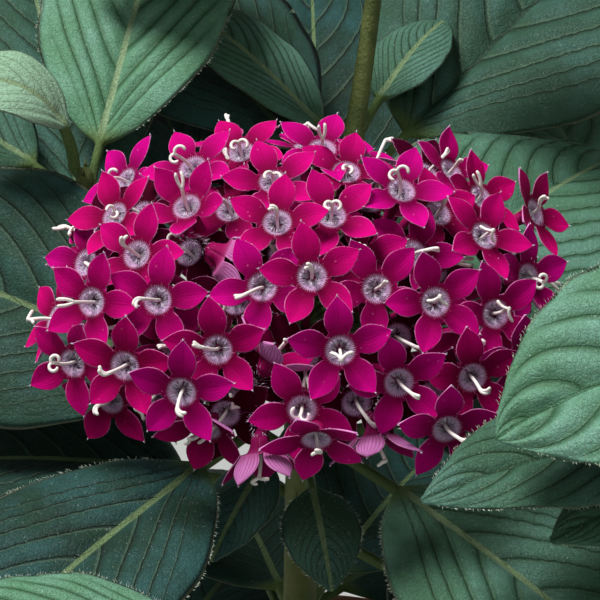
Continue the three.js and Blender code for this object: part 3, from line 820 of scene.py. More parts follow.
# right and up on the plane square to the light, depth, turn; then how far the style leans to
# the right and up, and how its two lobes lie
LIT_FLORETS = [
    (-16.2, 20.0, 0, 20, -2.6, 1.9, "loop"), (-16.6, 13.7, 0, 20, -0.6, 2.6, "fork"),
    (-23.7, 6.6, 0, 22, -1.6, 1.2, "hook"), (-27.6, 12.6, 1, 10, 0.2, 0.6, "loop"),
    (-27.0, 18.5, 1, 40, -2.0, 0.2, "loop"), (-32.0, 5.6, 1, 10, 0.6, -0.4, "line"),
    (-30.0, -0.3, 0, 15, -2.4, 0.0, "fork"), (-20.4, 0.0, 0, 20, -2.2, 0.2, "hook"),
    (-33.0, -9.2, 0, 15, -2.8, 0.2, "loop"), (-24.7, -9.3, 0, 20, -2.2, -1.0, "hook"),
    (-16.6, -12.9, 0, 18, -0.4, -2.0, "hook"), (-11.6, -7.0, 4, 30, -2.2, 0.4, "line"),
    (-5.4, 1.9, 4, 50, -2.6, -1.2, "line"), (-11.2, 6.4, 4, 40, 0.0, 1.0, "line"),
    (-3.3, 11.2, 1, 15, 0.0, 1.4, "hook"), (-4.0, 17.6, 1, 50, 0.0, 1.0, "loop"),
    (4.6, 12.3, 1, 20, 0.0, 1.8, "loop"), (1.7, 3.3, 0, 28, 0.0, 0.8, "hook"),
    (5.6, -7.0, 0, 20, 0.1, -1.4, "fold"), (-4.0, -8.4, 4, 60, 0.0, 1.0, "line"),
    (0.3, -15.3, 0, 15, -0.3, -1.0, "loop"), (2.3, -19.6, 4, 40, 0.0, 0.2, "loop"),
    (-5.5, -21.7, 2, 10, 0.0, -1.0, "line"), (-13.3, -18.4, 2, 50, 0.0, -1.0, "line"),
    (11.0, 1.6, 4, 40, 0.6, 0.4, "line"), (8.8, 5.8, 5, 25, -0.4, 1.2, "hook"),
    (15.0, 16.2, 0, 35, -0.8, 2.8, "loop"), (16.6, 6.8, 4, 50, 2.4, 0.6, "line"),
    (19.2, -0.3, 0, 26, 0.5, 0.9, "fold"), (28.2, -2.0, 0, 22, 1.8, 0.8, "fold"),
    (27.0, 9.4, 0, 26, 1.2, 0.8, "fold"), (23.4, 20.0, 1, 30, 0.7, 0.9, "line"),
    (27.6, 15.6, 2, 50, -0.3, 1.6, "fork"), (36.0, 13.4, 1, 15, 0.4, 1.4, "hook"),
    (33.9, 3.3, 1, 50, 1.9, -0.7, "loop"), (24.5, -11.0, 0, 20, 0.9, -1.6, "hook"),
    (13.9, -11.6, 2, 40, 1.6, -1.4, "line"), (20.7, -18.2, 1, 15, 1.6, -1.2, "line"),
    (7.0, 19.3, 1, 20, 0.2, 0.6, "loop"), (3.4, 23.0, 2, 50, 0.0, 1.4, "fork"),
    (-9.0, 22.6, 2, 20, -0.4, 1.4, "loop"), (10.8, -19.4, 4, 30, 0.6, -1.4, "hook"),
    (31.8, -9.0, 3, 10, 1.4, -0.6, "line"), (-10.4, 13.4, 3, 30, -0.6, 1.0, "hook"),
    (20.6, 13.0, 4, 10, 0.6, 1.0, "line"), (-18.2, -6.6, 5, 60, -1.0, 0.0, "line"),
    (-27.6, -14.6, 3, 30, -1.4, -0.6, "hook"), (25.0, -5.2, 1, 10, 0.8, -0.4, "line"),
]

# younger florets in the gaps, deep among the others
INNER_FLORETS = [
    (-16.4, 7.0, 10, 30), (-8.0, -13.0, 10, 50), (14.0, -5.4, 10, 60), (-10.6, -16.2, 9, 20),
    (-24.0, 13.0, 10, 40), (-9.4, 0.0, 11, 15), (-2.6, 6.6, 10, 55), (8.0, -14.6, 9, 5),
    (20.0, 4.6, 11, 35), (-24.6, -3.4, 10, 65), (30.6, 4.4, 10, 45), (10.2, 15.0, 10, 10),
    (-9.6, 18.6, 10, 60), (4.4, 7.6, 10, 25), (18.6, -13.6, 9, 33), (-30.6, 10.0, 9, 12),
    (-21.0, -14.0, 9, 48), (19.6, 19.6, 8, 20), (0.6, -8.2, 11, 62),
]
print(len(LIT_FLORETS), "florets towards the light and", len(INNER_FLORETS), "young inner ones")

# %% [markdown]
# ## The flower head: storeys
#
# Open florets are wider than the room between them. On a real head they lie over each other
# as shingles do, so neighbours stand in different storeys here, each a little deeper than
# the one before. Each floret faces out from the dome and is lifted to the light.

# %% Working out the florets
def dome_point(right, up, depth):
    """The dome's point behind a place on the plane square to the light."""
    a, b, c = REACH
    sin, cos = math.sin(math.radians(LIGHT_ELEVATION)), math.cos(math.radians(LIGHT_ELEVATION))
    quadratic = (cos / b) ** 2 + (sin / c) ** 2
    linear = 2 * up * sin * cos * (1 / c ** 2 - 1 / b ** 2)
    constant = (right / a) ** 2 + ((up * sin) / b) ** 2 + ((up * cos) / c) ** 2 - 1
    root = math.sqrt(max(0, linear ** 2 - 4 * quadratic * constant))
    near = (root - linear) / (2 * quadratic) - depth
    return np.array([right, up * sin - near * cos, up * cos + near * sin])


def turned_out(place, light):
    """The way a floret faces: out from the dome, and lifted to the light."""
    x, y, z = place / REACH
    return unit(np.array([TURN_SIDE * x, (TURN_FRONT if y < 0 else TURN_BACK) * y, z]) + LIFT * light)


def open_florets():
    florets = []
    for right, up, depth, turn, lean_right, lean_up, lobes in LIT_FLORETS:
        florets.append({
            "place": dome_point(right, up, depth), "turn": turn, "sinks": TO_LIGHT,
            "lean": lean_right * RIGHT + lean_up * RISING, "lobes": lobes,
        })
    for i in range(TURNS):
        rise = 1 - (1 - LOWEST) * (i + 0.5) / TURNS
        place = direction(GOLDEN_ANGLE * i, 0) * math.sqrt(1 - rise * rise)
        place = (place + UP * rise) * REACH
        shaded = unit(place / REACH ** 2) @ TO_LIGHT <= SHADE
        if shaded and all(np.linalg.norm(f["place"] - place) > SPACING for f in florets):
            florets.append({"place": place, "turn": (GOLDEN_ANGLE * i) % 72})
    for i, floret in enumerate(florets):
        near = [f for f in florets[:i] if np.linalg.norm(f["place"] - floret["place"]) < CROWD]
        floret["storey"] = next(s for s in range(20) if all(f["storey"] != s for f in near))
    for floret in florets:
        floret["axis"] = turned_out(floret["place"], floret.get("sinks", UP))
        floret["sinks"] = floret.get("sinks", floret["axis"])
        floret["place"] = floret["place"] - floret["sinks"] * STOREY * floret["storey"]
    for right, up, depth, turn in INNER_FLORETS:
        place = dome_point(right, up, depth)
        axis = turned_out(place, TO_LIGHT)
        florets.append({"place": place, "turn": turn, "storey": 6, "axis": axis, "sinks": TO_LIGHT})
    for floret in florets:
        floret["root"] = floret["place"] / REACH * KNOT - UP * KNOT_DROP
    return florets


FLORETS = open_florets()
print(len(FLORETS), "florets,", len(LIT_FLORETS), "of them towards the light")

# %% [markdown]
# ## The petal finish
#
# Petals look like velvet: crimson near the throat, a brighter magenta towards the tips, and with hardly
# any gloss. Glossy highlights would wash the colour out, so the shader's specular level is low. A mark
# paints shade on florets that lie deep in the head and on two nodding ones under it. Backs are pale pink
# with fine veins. The tips are whitish, a thin pale rim round each petal is a painted highlight, and small
# pink specks are painted glints of hairs. The throat is lilac, with painted shade where it narrows into
# the tube.

# %% The petal material
def petal_feeds(tree):
    names = ("reach", "back", "deep", "across", "tint")
    reach, back, deep, across, tint = (mark_of(tree, name) for name in names)
    blotch = use(tree, BLOTCHES, Scale=240.0)
    grain = use(tree, GRAIN, Scale=5200.0)
    specks = use(tree, SPECKS, Scale=620.0, Size=0.13, Share=0.5)
    off_middle = maths("ABSOLUTE", across)
    streaks = times_plus(grain, 1.2, maths("SINE", times(across, 26.0)))
    veins = ramp(streaks, 0.5, 1.8)

    crimson = blend(tint, rgb(106, 0, 45), rgb(118, 0, 63))
    magenta = blend(tint, rgb(208, 0, 108), rgb(214, 0, 140))
    face = blend(ramp(reach, 1.6, 7.2), crimson, magenta)
    face = blend(times(blotch, 0.2), face, crimson)
    face = blend(times(ramp(off_middle, 0.1, 0.0), 0.2), face, rgb(110, 0, 36))
    # painted shade on the faces of florets deep in the head
    face = blend(deep, face, rgb(56, 0, 24))
    # painted glints of hairs: small pink specks
    face = blend(times(specks, 0.6), face, rgb(236, 110, 160))
    # painted shade where the throat narrows into the tube
    ring = blend(ramp(reach, 0.8, 1.5), rgb(70, 38, 62), rgb(206, 166, 204))
    fringe = times_plus(streaks, 0.14, reach)
    face = blend(ramp(fringe, 2.35, 1.7), face, ring)

    outer = blend(veins, rgb(240, 160, 226), rgb(206, 100, 182))
    outer = blend(ramp(reach, 5.0, 1.2), outer, rgb(150, 22, 84))
    # painted shade on the backs and tubes of florets deep in the head
    outer = blend(deep, outer, rgb(92, 18, 62))
    colour = blend(back, face, outer)
    # whitish tips, and a thin pale rim along the margins that is a painted highlight
    edge = maths("MAXIMUM", ramp(off_middle, 0.935, 0.98), mark_of(tree, "tip"))
    edge = times(edge, ramp(use(tree, GRAIN, Scale=700.0), 0.3, 0.85))
    colour = blend(edge, colour, rgb(246, 150, 206))
    return {
        "Base Color": colour,
        "Roughness": times_plus(back, -0.25, 0.68),
        "Specular IOR Level": 0.04,
        "Sheen Weight": 0.03,
        "Sheen Roughness": 0.3,
        "Sheen Tint": rgb(255, 50, 160),
        "Height": times_plus(veins, 0.12, grain),
    }


PETAL = finish("velvet_petal", petal_feeds, bump_depth=0.00012)

# %% [markdown]
# ## One corolla
#
# The five petals grow together into a funnel, so the upper face is one sheet: rings down in
# the throat, then five separate lobes. The sheet is laid out once as a pattern of corners
# and faces, and each floret bends that pattern in its own way.

# %% The pattern of a corolla
THROAT = [(0.8, -2.4), (1.05, -1.5), (1.35, -0.75), (1.65, -0.26), (2.0, 0.0), (2.45, 0.1)]
NOTCH, TIP = 2.9, 7.9
COLUMNS = np.array([-1, -0.93, -0.62, -0.3, 0, 0.3, 0.62, 0.93, 1])
LOBE = np.array([0, 0.05, 0.12, 0.2, 0.29, 0.38, 0.48, 0.58, 0.68, 0.78, 0.87, 0.94, 0.98, 1])
ROWS = len(THROAT) + len(LOBE)
NOTCH_ROW = len(THROAT)
MIDDLE, LAST = len(COLUMNS) // 2, len(COLUMNS) - 1  # the columns at a petal's midrib and margin
FIFTH = math.radians(72)


def corolla_pattern():
    """The corners as (petal, row, column), and the faces between them."""
    known = {}

    def corner(petal, row, column):
        if row == ROWS - 1:
            column = MIDDLE
        if row <= NOTCH_ROW and column == LAST:
            petal, column = petal + 1, 0
        return known.setdefault((petal % 5, row, column), len(known))

    faces = []
    for petal in range(5):
        for row in range(ROWS - 1):
            for column in range(LAST):
                face = [corner(petal, row, column), corner(petal, row + 1, column)]
                face += [corner(petal, row + 1, column + 1), corner(petal, row, column + 1)]
                faces.append(face)
    return np.array(list(known)), np.array(faces)


def without_repeats(face):
    return [i for n, i in enumerate(face) if i != face[n - 1]]


def closed_faces():
    """The faces of the upper sheet, of the lower one under it, and of the rim between them."""
    count, edges, closed = len(CORNERS), {}, []
    for face in FACES.tolist():
        ring = without_repeats(face)
        closed += [ring, [i + count for i in ring[::-1]]]
        edges.update(dict.fromkeys(zip(ring, ring[1:] + ring[:1])))
    rim = [(a, b) for a, b in edges if (b, a) not in edges]
    return closed + [[b, a, a + count, b + count] for a, b in rim]


CORNERS, FACES = corolla_pattern()
CLOSED_FACES = closed_faces()
CORNER_OF = {tuple(corner): i for i, corner in enumerate(CORNERS.tolist())}
for petal in range(5):
    for row in range(ROWS):  # a petal's last column is the next one's first, up to the notch
        CORNER_OF.setdefault((petal, row, LAST), CORNER_OF.get(((petal + 1) % 5, row, 0)))
print(len(CORNERS), "corners and", len(FACES), "faces in the pattern")

# %% [markdown]
# ## Bending one corolla
#
# A petal could be bent with modifiers, but seventy florets with five petals each would need
# hundreds of them. Here each petal is a table of rows and columns, and a few sums give it its
# own cup, curl, twist and size. The thin second sheet is set off along the normals.

# %% The shape of one corolla
SHEET_THICKNESS, MARGIN_THINNING = 0.26, 0.17
NOTCH_LEVEL = 0.14
KEEL_GROOVE = 0.05


def lobe_half(u):
    """Half the width of a petal lobe from its notch to its tip."""
    inner = NOTCH * math.cos(FIFTH / 2)
    limit = (inner + u * (TIP - inner)) * math.tan(FIFTH / 2)
    return np.minimum(5.5 * (u + 0.33) ** 1.3 * (1 - u) ** 1.12, limit * 0.97)


def corolla_sheet(cup, curl, twist, size):
    """Positions of the pattern's corners: right, up and forward of the floret's mouth."""
    table = np.zeros((5, ROWS, len(COLUMNS), 3))
    angle = COLUMNS * FIFTH / 2
    for row, (radius, depth) in enumerate(THROAT):
        table[:, row] = np.stack([radius * np.cos(angle), radius * np.sin(angle), 0 * angle + depth], -1)
    step = np.diff(NOTCH + LOBE * (TIP - NOTCH), prepend=NOTCH)
    for petal in range(5):
        pitch = np.radians(cup[petal] + curl[petal] * LOBE ** 2)
        forward = NOTCH + np.cumsum(step * np.cos(pitch)) * size[petal]
        rise = NOTCH_LEVEL + np.cumsum(step * np.sin(pitch)) * size[petal]
        sag = (NOTCH * (math.cos(FIFTH / 2) - 1)) * (1 - LOBE)
        half = lobe_half(LOBE)[:, None]
        v = COLUMNS[None, :]
        turn = np.radians(twist[petal]) * LOBE[:, None]
        dish = 0.24 * v ** 2 - 0.1 * v ** 4 - KEEL_GROOVE * np.exp(-(v / 0.16) ** 2)
        lift = half * dish * ease(0, 0.15, LOBE)[:, None] + half * v * np.sin(turn)
        aside = half * v * np.cos(turn)
        back = sag[:, None] * v ** 2
        x = forward[:, None] + back * np.cos(pitch)[:, None] - lift * np.sin(pitch)[:, None]
        z = rise[:, None] + back * np.sin(pitch)[:, None] + lift * np.cos(pitch)[:, None]
        table[petal, NOTCH_ROW:] = np.stack([x, aside, z], -1)
        table[petal, NOTCH_ROW, :, 2] = NOTCH_LEVEL
    turned = np.zeros_like(table)
    for petal in range(5):
        c, s = math.cos(FIFTH * petal), math.sin(FIFTH * petal)
        x, y = table[petal, ..., 0], table[petal, ..., 1]
        turned[petal] = np.stack([x * c - y * s, x * s + y * c, table[petal, ..., 2]], -1)
    return turned[tuple(CORNERS.T)]


def thicken(sheet):
    """The lower sheet: set off from the upper one along its normals, thinner at the margin."""
    a, b, c, d = (sheet[FACES[:, i]] for i in range(4))
    across = np.cross(c - a, d - b)
    normals = np.zeros_like(sheet)
    for i in range(4):
        np.add.at(normals, FACES[:, i], across)
    margin = np.abs(COLUMNS[CORNERS[:, 2]])
    thickness = SHEET_THICKNESS - MARGIN_THINNING * ease(0.8, 1.0, margin)
    return sheet - unit(normals) * thickness[:, None]


print("a petal lobe is up to", round(2 * lobe_half(LOBE).max(), 1), "mm wide")

# %% [markdown]
# ## Settling the florets
#
# Real petals press on each other and slide apart, but these would pass through each other.
# So each floret is turned a little, or sunk a little deeper, until its sheet crosses no sheet
# laid before it, or as few as can be. Blender's bounding-volume trees find such crossings
# quickly.

# %% Turning and sinking a floret
SINKING, SINKING_STEPS, SWINGS = 0.5, 9, (0, 10, -10, 20, -20, 32)
settled = []


def floret_frame(floret):
    axis = floret["axis"]
    right = unit(np.array([-axis[1], axis[0], 0.0]))
    up = np.cross(axis, right)
    turn = math.radians(floret["turn"])
    return math.cos(turn) * right + math.sin(turn) * up, math.cos(turn) * up - math.sin(turn) * right, axis


def settle(floret, sheet):
    """Turn or sink a floret until its petals pass through no other's; remember where it lies."""
    start, turn = floret["place"], floret["turn"]
    best = None
    for step in range(SINKING_STEPS):
        place = start - floret["sinks"] * SINKING * step
        where = HEAD_CENTRE + place
        near = [other for spot, other in settled if np.linalg.norm(spot - where) < 2 * TIP + 1]
        for swing in SWINGS:
            floret["turn"] = turn + swing
            axes = np.array(floret_frame(floret))
            tree = BVHTree.FromPolygons((sheet @ axes + where).tolist(), FACES.tolist())
            hits = sum(len(tree.overlap(other)) for other in near)
            if best is None or hits < best[0]:
                best = (hits, place, turn + swing, axes, tree)
        if best[0] == 0:
            break
    hits, floret["place"], floret["turn"], floret["frame"], tree = best
    settled.append((HEAD_CENTRE + floret["place"], tree))
    return hits


# %% [markdown]
# ## All the corollas and their tubes
#
# Most florets open nearly flat. A few nod or are still half shut and show their pale backs.
# Behind each one a thin tube runs back into the head. The florets towards the light are one
# piece and the others a second one, so that neither mesh is too heavy.

# %% Making the corollas
CUPPED = {1: 34, 13: 62, 19: 36, 21: 16, 22: 48, 23: 34, 41: 40}  # degrees that petals stand up
NODDING = {  # how far right, up and towards the light they look
    13: (0.86, -0.45, -0.16), 19: (0.5, 0.75, 0.1), 21: (0.0, -0.8, 0.6),
    22: (0.12, -0.96, 0.05), 23: (-0.3, -0.72, 0.6), 41: (0.1, -0.95, 0.1),
}
# painted shade on two nodding florets at the foot of the head, under the others
NODDING_IN_SHADE = {22: 0.55, 41: 0.55}  # nodding florets at the foot of the head, darker than the others
TUBE_RINGS, TUBE_SIDES = 11, 10
TUBE_RADII = np.interp(np.linspace(0, 1, TUBE_RINGS), [0, 0.15, 0.6, 1], [1.1, 0.85, 0.62, 0.6])


def bent_sheet(number, floret):
    """A floret's upper sheet; florets in the deeper storeys open flatter."""
    low = floret["storey"] > 1
    cup = CUPPED.get(number, rng.uniform(3, 8) if low else rng.uniform(6, 14)) + rng.normal(0, 2.5, 5)
    curl = rng.uniform(-14, 6 if low else 16, 5)
    return corolla_sheet(cup, curl, rng.normal(0, 6, 5), rng.uniform(0.95, 1.04, 5))


def corolla_tube(number, floret, where):
    """The tube, straight behind the mouth and then bent towards the middle of the head."""
    axis, root = floret["axis"], HEAD_CENTRE + floret["root"]
    knee = where - axis * (3 if number in NODDING else 8)
    path = bezier((where - axis * 1.9, knee, (knee + root) / 2, root), TUBE_RINGS)
    return tube(path, TUBE_RADII, TUBE_SIDES)


crossings = 0
corollas_lit, corollas_shaded = Heap(), Heap()
rng = np.random.default_rng(23)
for number, floret in sorted(enumerate(FLORETS), key=lambda item: item[1]["storey"]):
    if number in NODDING:
        floret["axis"] = unit(np.array(NODDING[number]) @ np.array([RIGHT, RISING, TO_LIGHT]))
    sheet = bent_sheet(number, floret)
    crossings += settle(floret, sheet) > 0
    where = HEAD_CENTRE + floret["place"]
    both = np.concatenate([sheet, thicken(sheet)]) @ floret["frame"] + where
    floret["sheet"] = both[:len(sheet)]
    tint = rng.uniform(0, 1)
    # painted shade: darker in the deeper storeys, darkest for the inner florets
    deep = max(NODDING_IN_SHADE.get(number, 0.0), np.interp(floret["storey"], [1, 5, 6], [0, 0.4, 0.95]))
    corollas = corollas_lit if number < len(LIT_FLORETS) else corollas_shaded
    corollas.add(
        both,
        CLOSED_FACES,
        reach=np.tile(np.linalg.norm(sheet[:, :2], axis=1), 2),
        across=np.tile(COLUMNS[CORNERS[:, 2]], 2),
        back=np.repeat([0.0, 1.0], len(sheet)),
        tip=np.tile(CORNERS[:, 1] == ROWS - 1, 2),
        tint=tint,
        deep=deep,
    )
    corollas.add(
        *corolla_tube(number, floret, where),
        reach=1.2,
        across=np.tile(np.linspace(-0.9, 0.9, TUBE_SIDES), TUBE_RINGS),
        back=1.0,
        tip=0.0,
        tint=tint,
        deep=deep,
    )
corollas_lit.piece("corollas_lit", PETAL, "petals", "flower_head")
corollas_shaded.piece("corollas_shaded", PETAL, "petals", "flower_head")
print("corolla triangles:", TRIANGLES["corollas_lit"], TRIANGLES["corollas_shaded"])
print("florets that still touch another:", crossings)

# %% [markdown]
# ## Hairs in the throat and on the petals
#
# A dense ring of lilac hairs stands in each throat and leans towards its middle, with a
# loose rosy ring outside it. Shorter hairs sit at the tips and margins of the petals, and
# some show on the tubes of nodding florets. They are cones again, in one heap.

# %% The throat hairs
def fuzz_feeds(tree):
    grain = use(tree, GRAIN, Scale=1200.0)
    pale = blend(grain, rgb(210, 184, 216), rgb(246, 236, 250))
    colour = blend(mark_of(tree, "rosy"), pale, rgb(226, 74, 150))
    return {"Base Color": colour, "Roughness": 0.5, "Sheen Weight": 0.3}


FUZZ = finish("petal_fuzz", fuzz_feeds)
HAIR_RINGS = [  # how many, from and to which radius, lean, how rosy, lengths and widths
    (190, 0.95, 1.9, -0.95, 0.0, (0.6, 1.15), (0.07, 0.12)),
    (34, 1.9, 2.5, -0.2, 0.8, (0.15, 0.35), (0.06, 0.1)),
]
TIP_HAIRS, EDGE_HAIRS, TUBE_HAIRS = 6, 11, 70
fuzz = Heap()


def scatter(roots, ways, lengths, widths, rosy=0.0):
    count = len(roots)
    lengths, widths = rng.uniform(*lengths, count), rng.uniform(*widths, count)
    fuzz.add(*hairs(roots, ways, lengths, widths), rosy=rosy)


def throat_hairs(floret):
    """A dense ring of hairs that lean towards the middle, and a loose rosy ring outside it."""
    where, axes = HEAD_CENTRE + floret["place"], floret["frame"]
    for count, inner, outer, lean, rosy, lengths, widths in HAIR_RINGS:
        around = rng.uniform(0, 2 * np.pi, count)
        radius = outer - (outer - inner) * rng.uniform(0, 1, count) ** 1.2
        depth = np.interp(radius, [r for r, _ in THROAT], [d for _, d in THROAT])
        spokes = np.stack([np.cos(around), np.sin(around), np.zeros(count)], -1)
        roots = spokes * radius[:, None] + UP * (depth[:, None] - 0.05)
        ways = (spokes * lean + UP * 0.35 + 0.2 * rng.normal(size=roots.shape)) @ axes
        scatter(roots @ axes + where, ways, lengths, widths, rosy)


def margin_points(sheet, petal, rows, column):
    """Points on a petal's margin; in the last row every column is the tip."""
    return sheet[[CORNER_OF[petal, r, column if r < ROWS - 1 else MIDDLE] for r in rows]]


def petal_hairs(floret):
    """A small white horn and a tuft at each tip, and sparse hairs along the margins."""
    axis, sheet = floret["frame"][2], floret["sheet"]
    middle = HEAD_CENTRE + floret["place"]
    for petal in range(5):
        tip = sheet[CORNER_OF[petal, ROWS - 1, MIDDLE]]
        out = unit(tip - middle)
        scatter(tip[None] - 0.12 * out, (out + 0.5 * axis)[None], (0.35, 0.6), (0.16, 0.24))
        ways = out + 0.2 * axis + 0.6 * rng.normal(size=(TIP_HAIRS, 3))
        scatter(np.repeat(tip[None], TIP_HAIRS, 0) - 0.05 * out, ways, (0.2, 0.5), (0.04, 0.07))
        for column in (0, LAST):
            rows = rng.integers(NOTCH_ROW + 3, ROWS - 1, EDGE_HAIRS)
            part = rng.uniform(0, 1, (EDGE_HAIRS, 1))
            low = margin_points(sheet, petal, rows, column)
            high = margin_points(sheet, petal, rows + 1, column)
            roots = low * (1 - part) + high * part - 0.06 * axis
            ways = 0.5 * unit(roots - middle) - 0.4 * axis + 0.5 * rng.normal(size=roots.shape)
            scatter(roots, ways, (0.12, 0.3), (0.035, 0.06))


def tube_hairs(floret):
    """Hairs round a tube, where a nodding floret shows it."""
    axis = floret["axis"]
    ways = rng.normal(size=(TUBE_HAIRS, 3))
    ways = unit(ways - np.outer(ways @ axis, axis))
    behind = np.outer(rng.uniform(1.6, 6, TUBE_HAIRS), axis)
    roots = HEAD_CENTRE + floret["place"] - behind + 0.8 * ways
    scatter(roots, ways + 0.8 * axis, (0.5, 1.0), (0.05, 0.08))


for number, floret in enumerate(FLORETS):
    throat_hairs(floret)
    petal_hairs(floret)
    if number in NODDING:
        tube_hairs(floret)
fuzz.piece("petal_fuzz", FUZZ, "petals")
print("petal fuzz triangles:", TRIANGLES["petal_fuzz"])

# %% [markdown]
# ## The styles
#
# A cream style stands out of each throat and ends in two blunt lobes, which fork, hook, fold
# back or curl into loops as they age. Style and lobes are three tubes that meet. Each lobe
# is walked out in short steps, and its way turns a little at each one.

# %% The style finish, and the styles
def style_feeds(tree):
    grain = use(tree, GRAIN, Scale=3000.0)
    colour = blend(grain, rgb(236, 222, 214), rgb(255, 250, 244))
    return {
        "Base Color": colour,
        "Roughness": 0.45,
        "Subsurface Weight": 0.15,
        "Subsurface Radius": (0.0006, 0.0005, 0.0004),
        "Height": grain,
    }


STYLE = finish("cream_style", style_feeds, bump_depth=0.0001)
LOBES = {  # spread of the lobes in degrees, turn of each in degrees a millimetre, and their length
    "fork": (26, -14, 2.7),
    "hook": (14, 62, 2.0),
    "loop": (40, 85, 2.8),
    "fold": (138, -28, 2.2),
    "line": (8, 18, 1.6),
}
LOBE_STEPS = 10
LOBE_RADII = np.interp(np.arange(LOBE_STEPS + 1), [0, 2, 8, 9, 10], [0.24, 0.25, 0.27, 0.25, 0.13])


def turned(vector, axis, degrees):
    a = math.radians(degrees)
    return vector * math.cos(a) + np.cross(axis, vector) * math.sin(a)


def style_end(number, floret, where):
    """Where a style ends, the plane that its lobes lie in, and what they look like."""
    if "lean" in floret and number not in NODDING:
        return where + floret["lean"] + TO_LIGHT * rng.uniform(2.6, 3.4), TO_LIGHT, floret["lobes"]
    axis = floret["axis"]
    outward = floret["place"] * [1, 1, 0.5]
    lean = unit(outward - axis * (outward @ axis)) * 2.0
    return where + lean + axis * 3.4, axis, list(LOBES)[number % len(LOBES)]


def style_lobe(start, way, plane, bend, stride, hand):
    """One lobe, walked out in short steps, its way turning a little at each one."""
    lobe = [start]
    for _ in range(LOBE_STEPS):
        lobe.append(lobe[-1] + way * stride)
        way = unit(turned(way, plane, bend * stride) + plane * 0.03 * hand)
    return tube(lobe, LOBE_RADII, 8)


styles = Heap()
for number, floret in enumerate(FLORETS):
    axis = floret["axis"]
    where = HEAD_CENTRE + floret["place"]
    end, plane, kind = style_end(number, floret, where)
    path = bezier((where - axis * 1.8, where + axis * 1.4, end - 0.35 * (end - where), end), 9)
    styles.add(*tube(path, np.linspace(0.24, 0.29, 9), 8))
    heading = unit(path[-1] - path[-3])
    heading = unit(heading - plane * (heading @ plane) * 0.7)
    spread, curl, length = LOBES[kind]
    way_of_hook = rng.choice([-1, 1])
    for hand in (-1, 1):
        way = turned(heading, plane, hand * spread * rng.uniform(0.85, 1.15))
        bend = curl * (way_of_hook if kind in ("hook", "line") else hand) * rng.uniform(0.8, 1.2)
        lobe = style_lobe(end - heading * 0.15, way, plane, bend, length / LOBE_STEPS, hand)
        styles.add(*lobe)
styles.piece("styles", STYLE, "petals")
print("style triangles:", TRIANGLES["styles"])

# %% [markdown]
# ## Calyces and branches inside the head
#
# Each tube sits on a small green ovary with five narrow calyx lobes, on a short stalk. The
# stalks gather in a few branches, and the branches in the top of the main stem. From the
# side and from below, this is what holds the head together.

# %% Green parts of the head
def green_feeds(tree):
    blotch = use(tree, BLOTCHES, Scale=300.0)
    grain = use(tree, GRAIN, Scale=2000.0)
    colour = blend(blotch, rgb(84, 116, 58), rgb(120, 146, 84))
    return {"Base Color": colour, "Roughness": 0.55, "Sheen Weight": 0.15, "Height": grain}


GREEN = finish("green_calyx", green_feeds, bump_depth=0.0002)
STALK_TOP = HEAD_CENTRE - UP * 16.5
BRANCHES = 9
branch_tips = [STALK_TOP + UP * 3]
for i in range(BRANCHES - 1):
    spoke = direction(GOLDEN_ANGLE * i, 0) * (4.0 + 3.5 * (i % 2))
    branch_tips.append(STALK_TOP + spoke + UP * 2.6)


def branch(tip):
    corners = (STALK_TOP - UP * 1.5, STALK_TOP + UP, (STALK_TOP + tip) / 2 + UP * 0.6, tip)
    return tube(bezier(corners, 7), np.linspace(1.5, 0.8, 7), 8)


def calyx_lobe(root, spoke, outward, length):
    low = root + spoke * 0.9
    knees = low + spoke * 0.3 + outward, low + spoke * 0.5 + outward * length * 0.7
    high = low + spoke * 0.8 + outward * length
    return tube(bezier((low - outward * 0.5, *knees, high), 5), [0.42, 0.5, 0.42, 0.28, 0.06], 5)


green = Heap()
for tip in branch_tips:
    green.add(*branch(tip))
for floret in FLORETS:
    root = HEAD_CENTRE + floret["root"]
    tip = min(branch_tips, key=lambda t: np.linalg.norm(t - root))
    outward = unit(floret["place"] * [1, 1, 0.6] + UP * 2)
    foot = root - outward * 2.6
    stalk = bezier((tip, tip + UP * 1.5, foot - outward * 2, foot), 8)
    green.add(*tube(stalk, np.linspace(0.55, 0.5, 8), 6))
    ovary = bezier((foot, foot + outward, foot + outward * 2, root + outward * 0.3), 7)
    green.add(*tube(ovary, [0.5, 0.95, 1.2, 1.25, 1.15, 0.95, 0.8], 8))
    side = unit(np.cross(outward, [0.3, 0.4, 0.86]))
    for k in range(5):
        spoke = side * math.cos(FIFTH * k) + np.cross(outward, side) * math.sin(FIFTH * k)
        green.add(*calyx_lobe(root, spoke, outward, rng.uniform(2.0, 3.2)))
green.piece("calyces", GREEN, "stems")
print("calyx triangles:", TRIANGLES["calyces"])

# %% [markdown]
# ## The pot
#
# A thrown clay pot has a flat foot, a leaning wall and a thick rim band with soft edges. It
# is turned from one profile, like on the wheel, and three drain holes are cut in its floor.

# %% The clay finish and the pot
def clay_feeds(tree):
    blotch = use(tree, BLOTCHES, Scale=22.0)
    grain = use(tree, GRAIN, Scale=900.0)
    specks = use(tree, SPECKS, Scale=700.0, Size=0.3, Share=0.25)
    bloom = use(tree, BLOTCHES, Scale=48.0)
    where = put(tree, "ShaderNodeTexCoord").outputs["Object"]
    height = put(tree, "ShaderNodeSeparateXYZ", {0: where}).outputs[2]
    low = ramp(height, 0.03, 0.0)
    high = ramp(height, 0.09, 0.105)
    colour = blend(blotch, rgb(168, 92, 62), rgb(190, 112, 78))
    chalk = times(bloom, maths("MAXIMUM", times(low, 0.7), high))
    colour = blend(times(chalk, 0.6), colour, rgb(214, 186, 164))
    colour = blend(times(specks, 0.5), colour, rgb(120, 62, 42))
    rough = times_plus(grain, 0.15, 0.78)
    return {"Base Color": colour, "Roughness": rough, "Height": grain}


CLAY = finish("unglazed_clay", clay_feeds, bump_depth=0.0004)
FOOT, SHOULDER, SHOULDER_HEIGHT, RIM, POT_HEIGHT, WALL, FLOOR = 42, 56, 84, 61, 105, 6, 8
DRAIN_RADIUS, DRAIN_REACH, DRAINS = 4, 24, 3
POT_SIDES = 120


def pot_inside(height):
    return FOOT - WALL + (SHOULDER - FOOT) / SHOULDER_HEIGHT * height


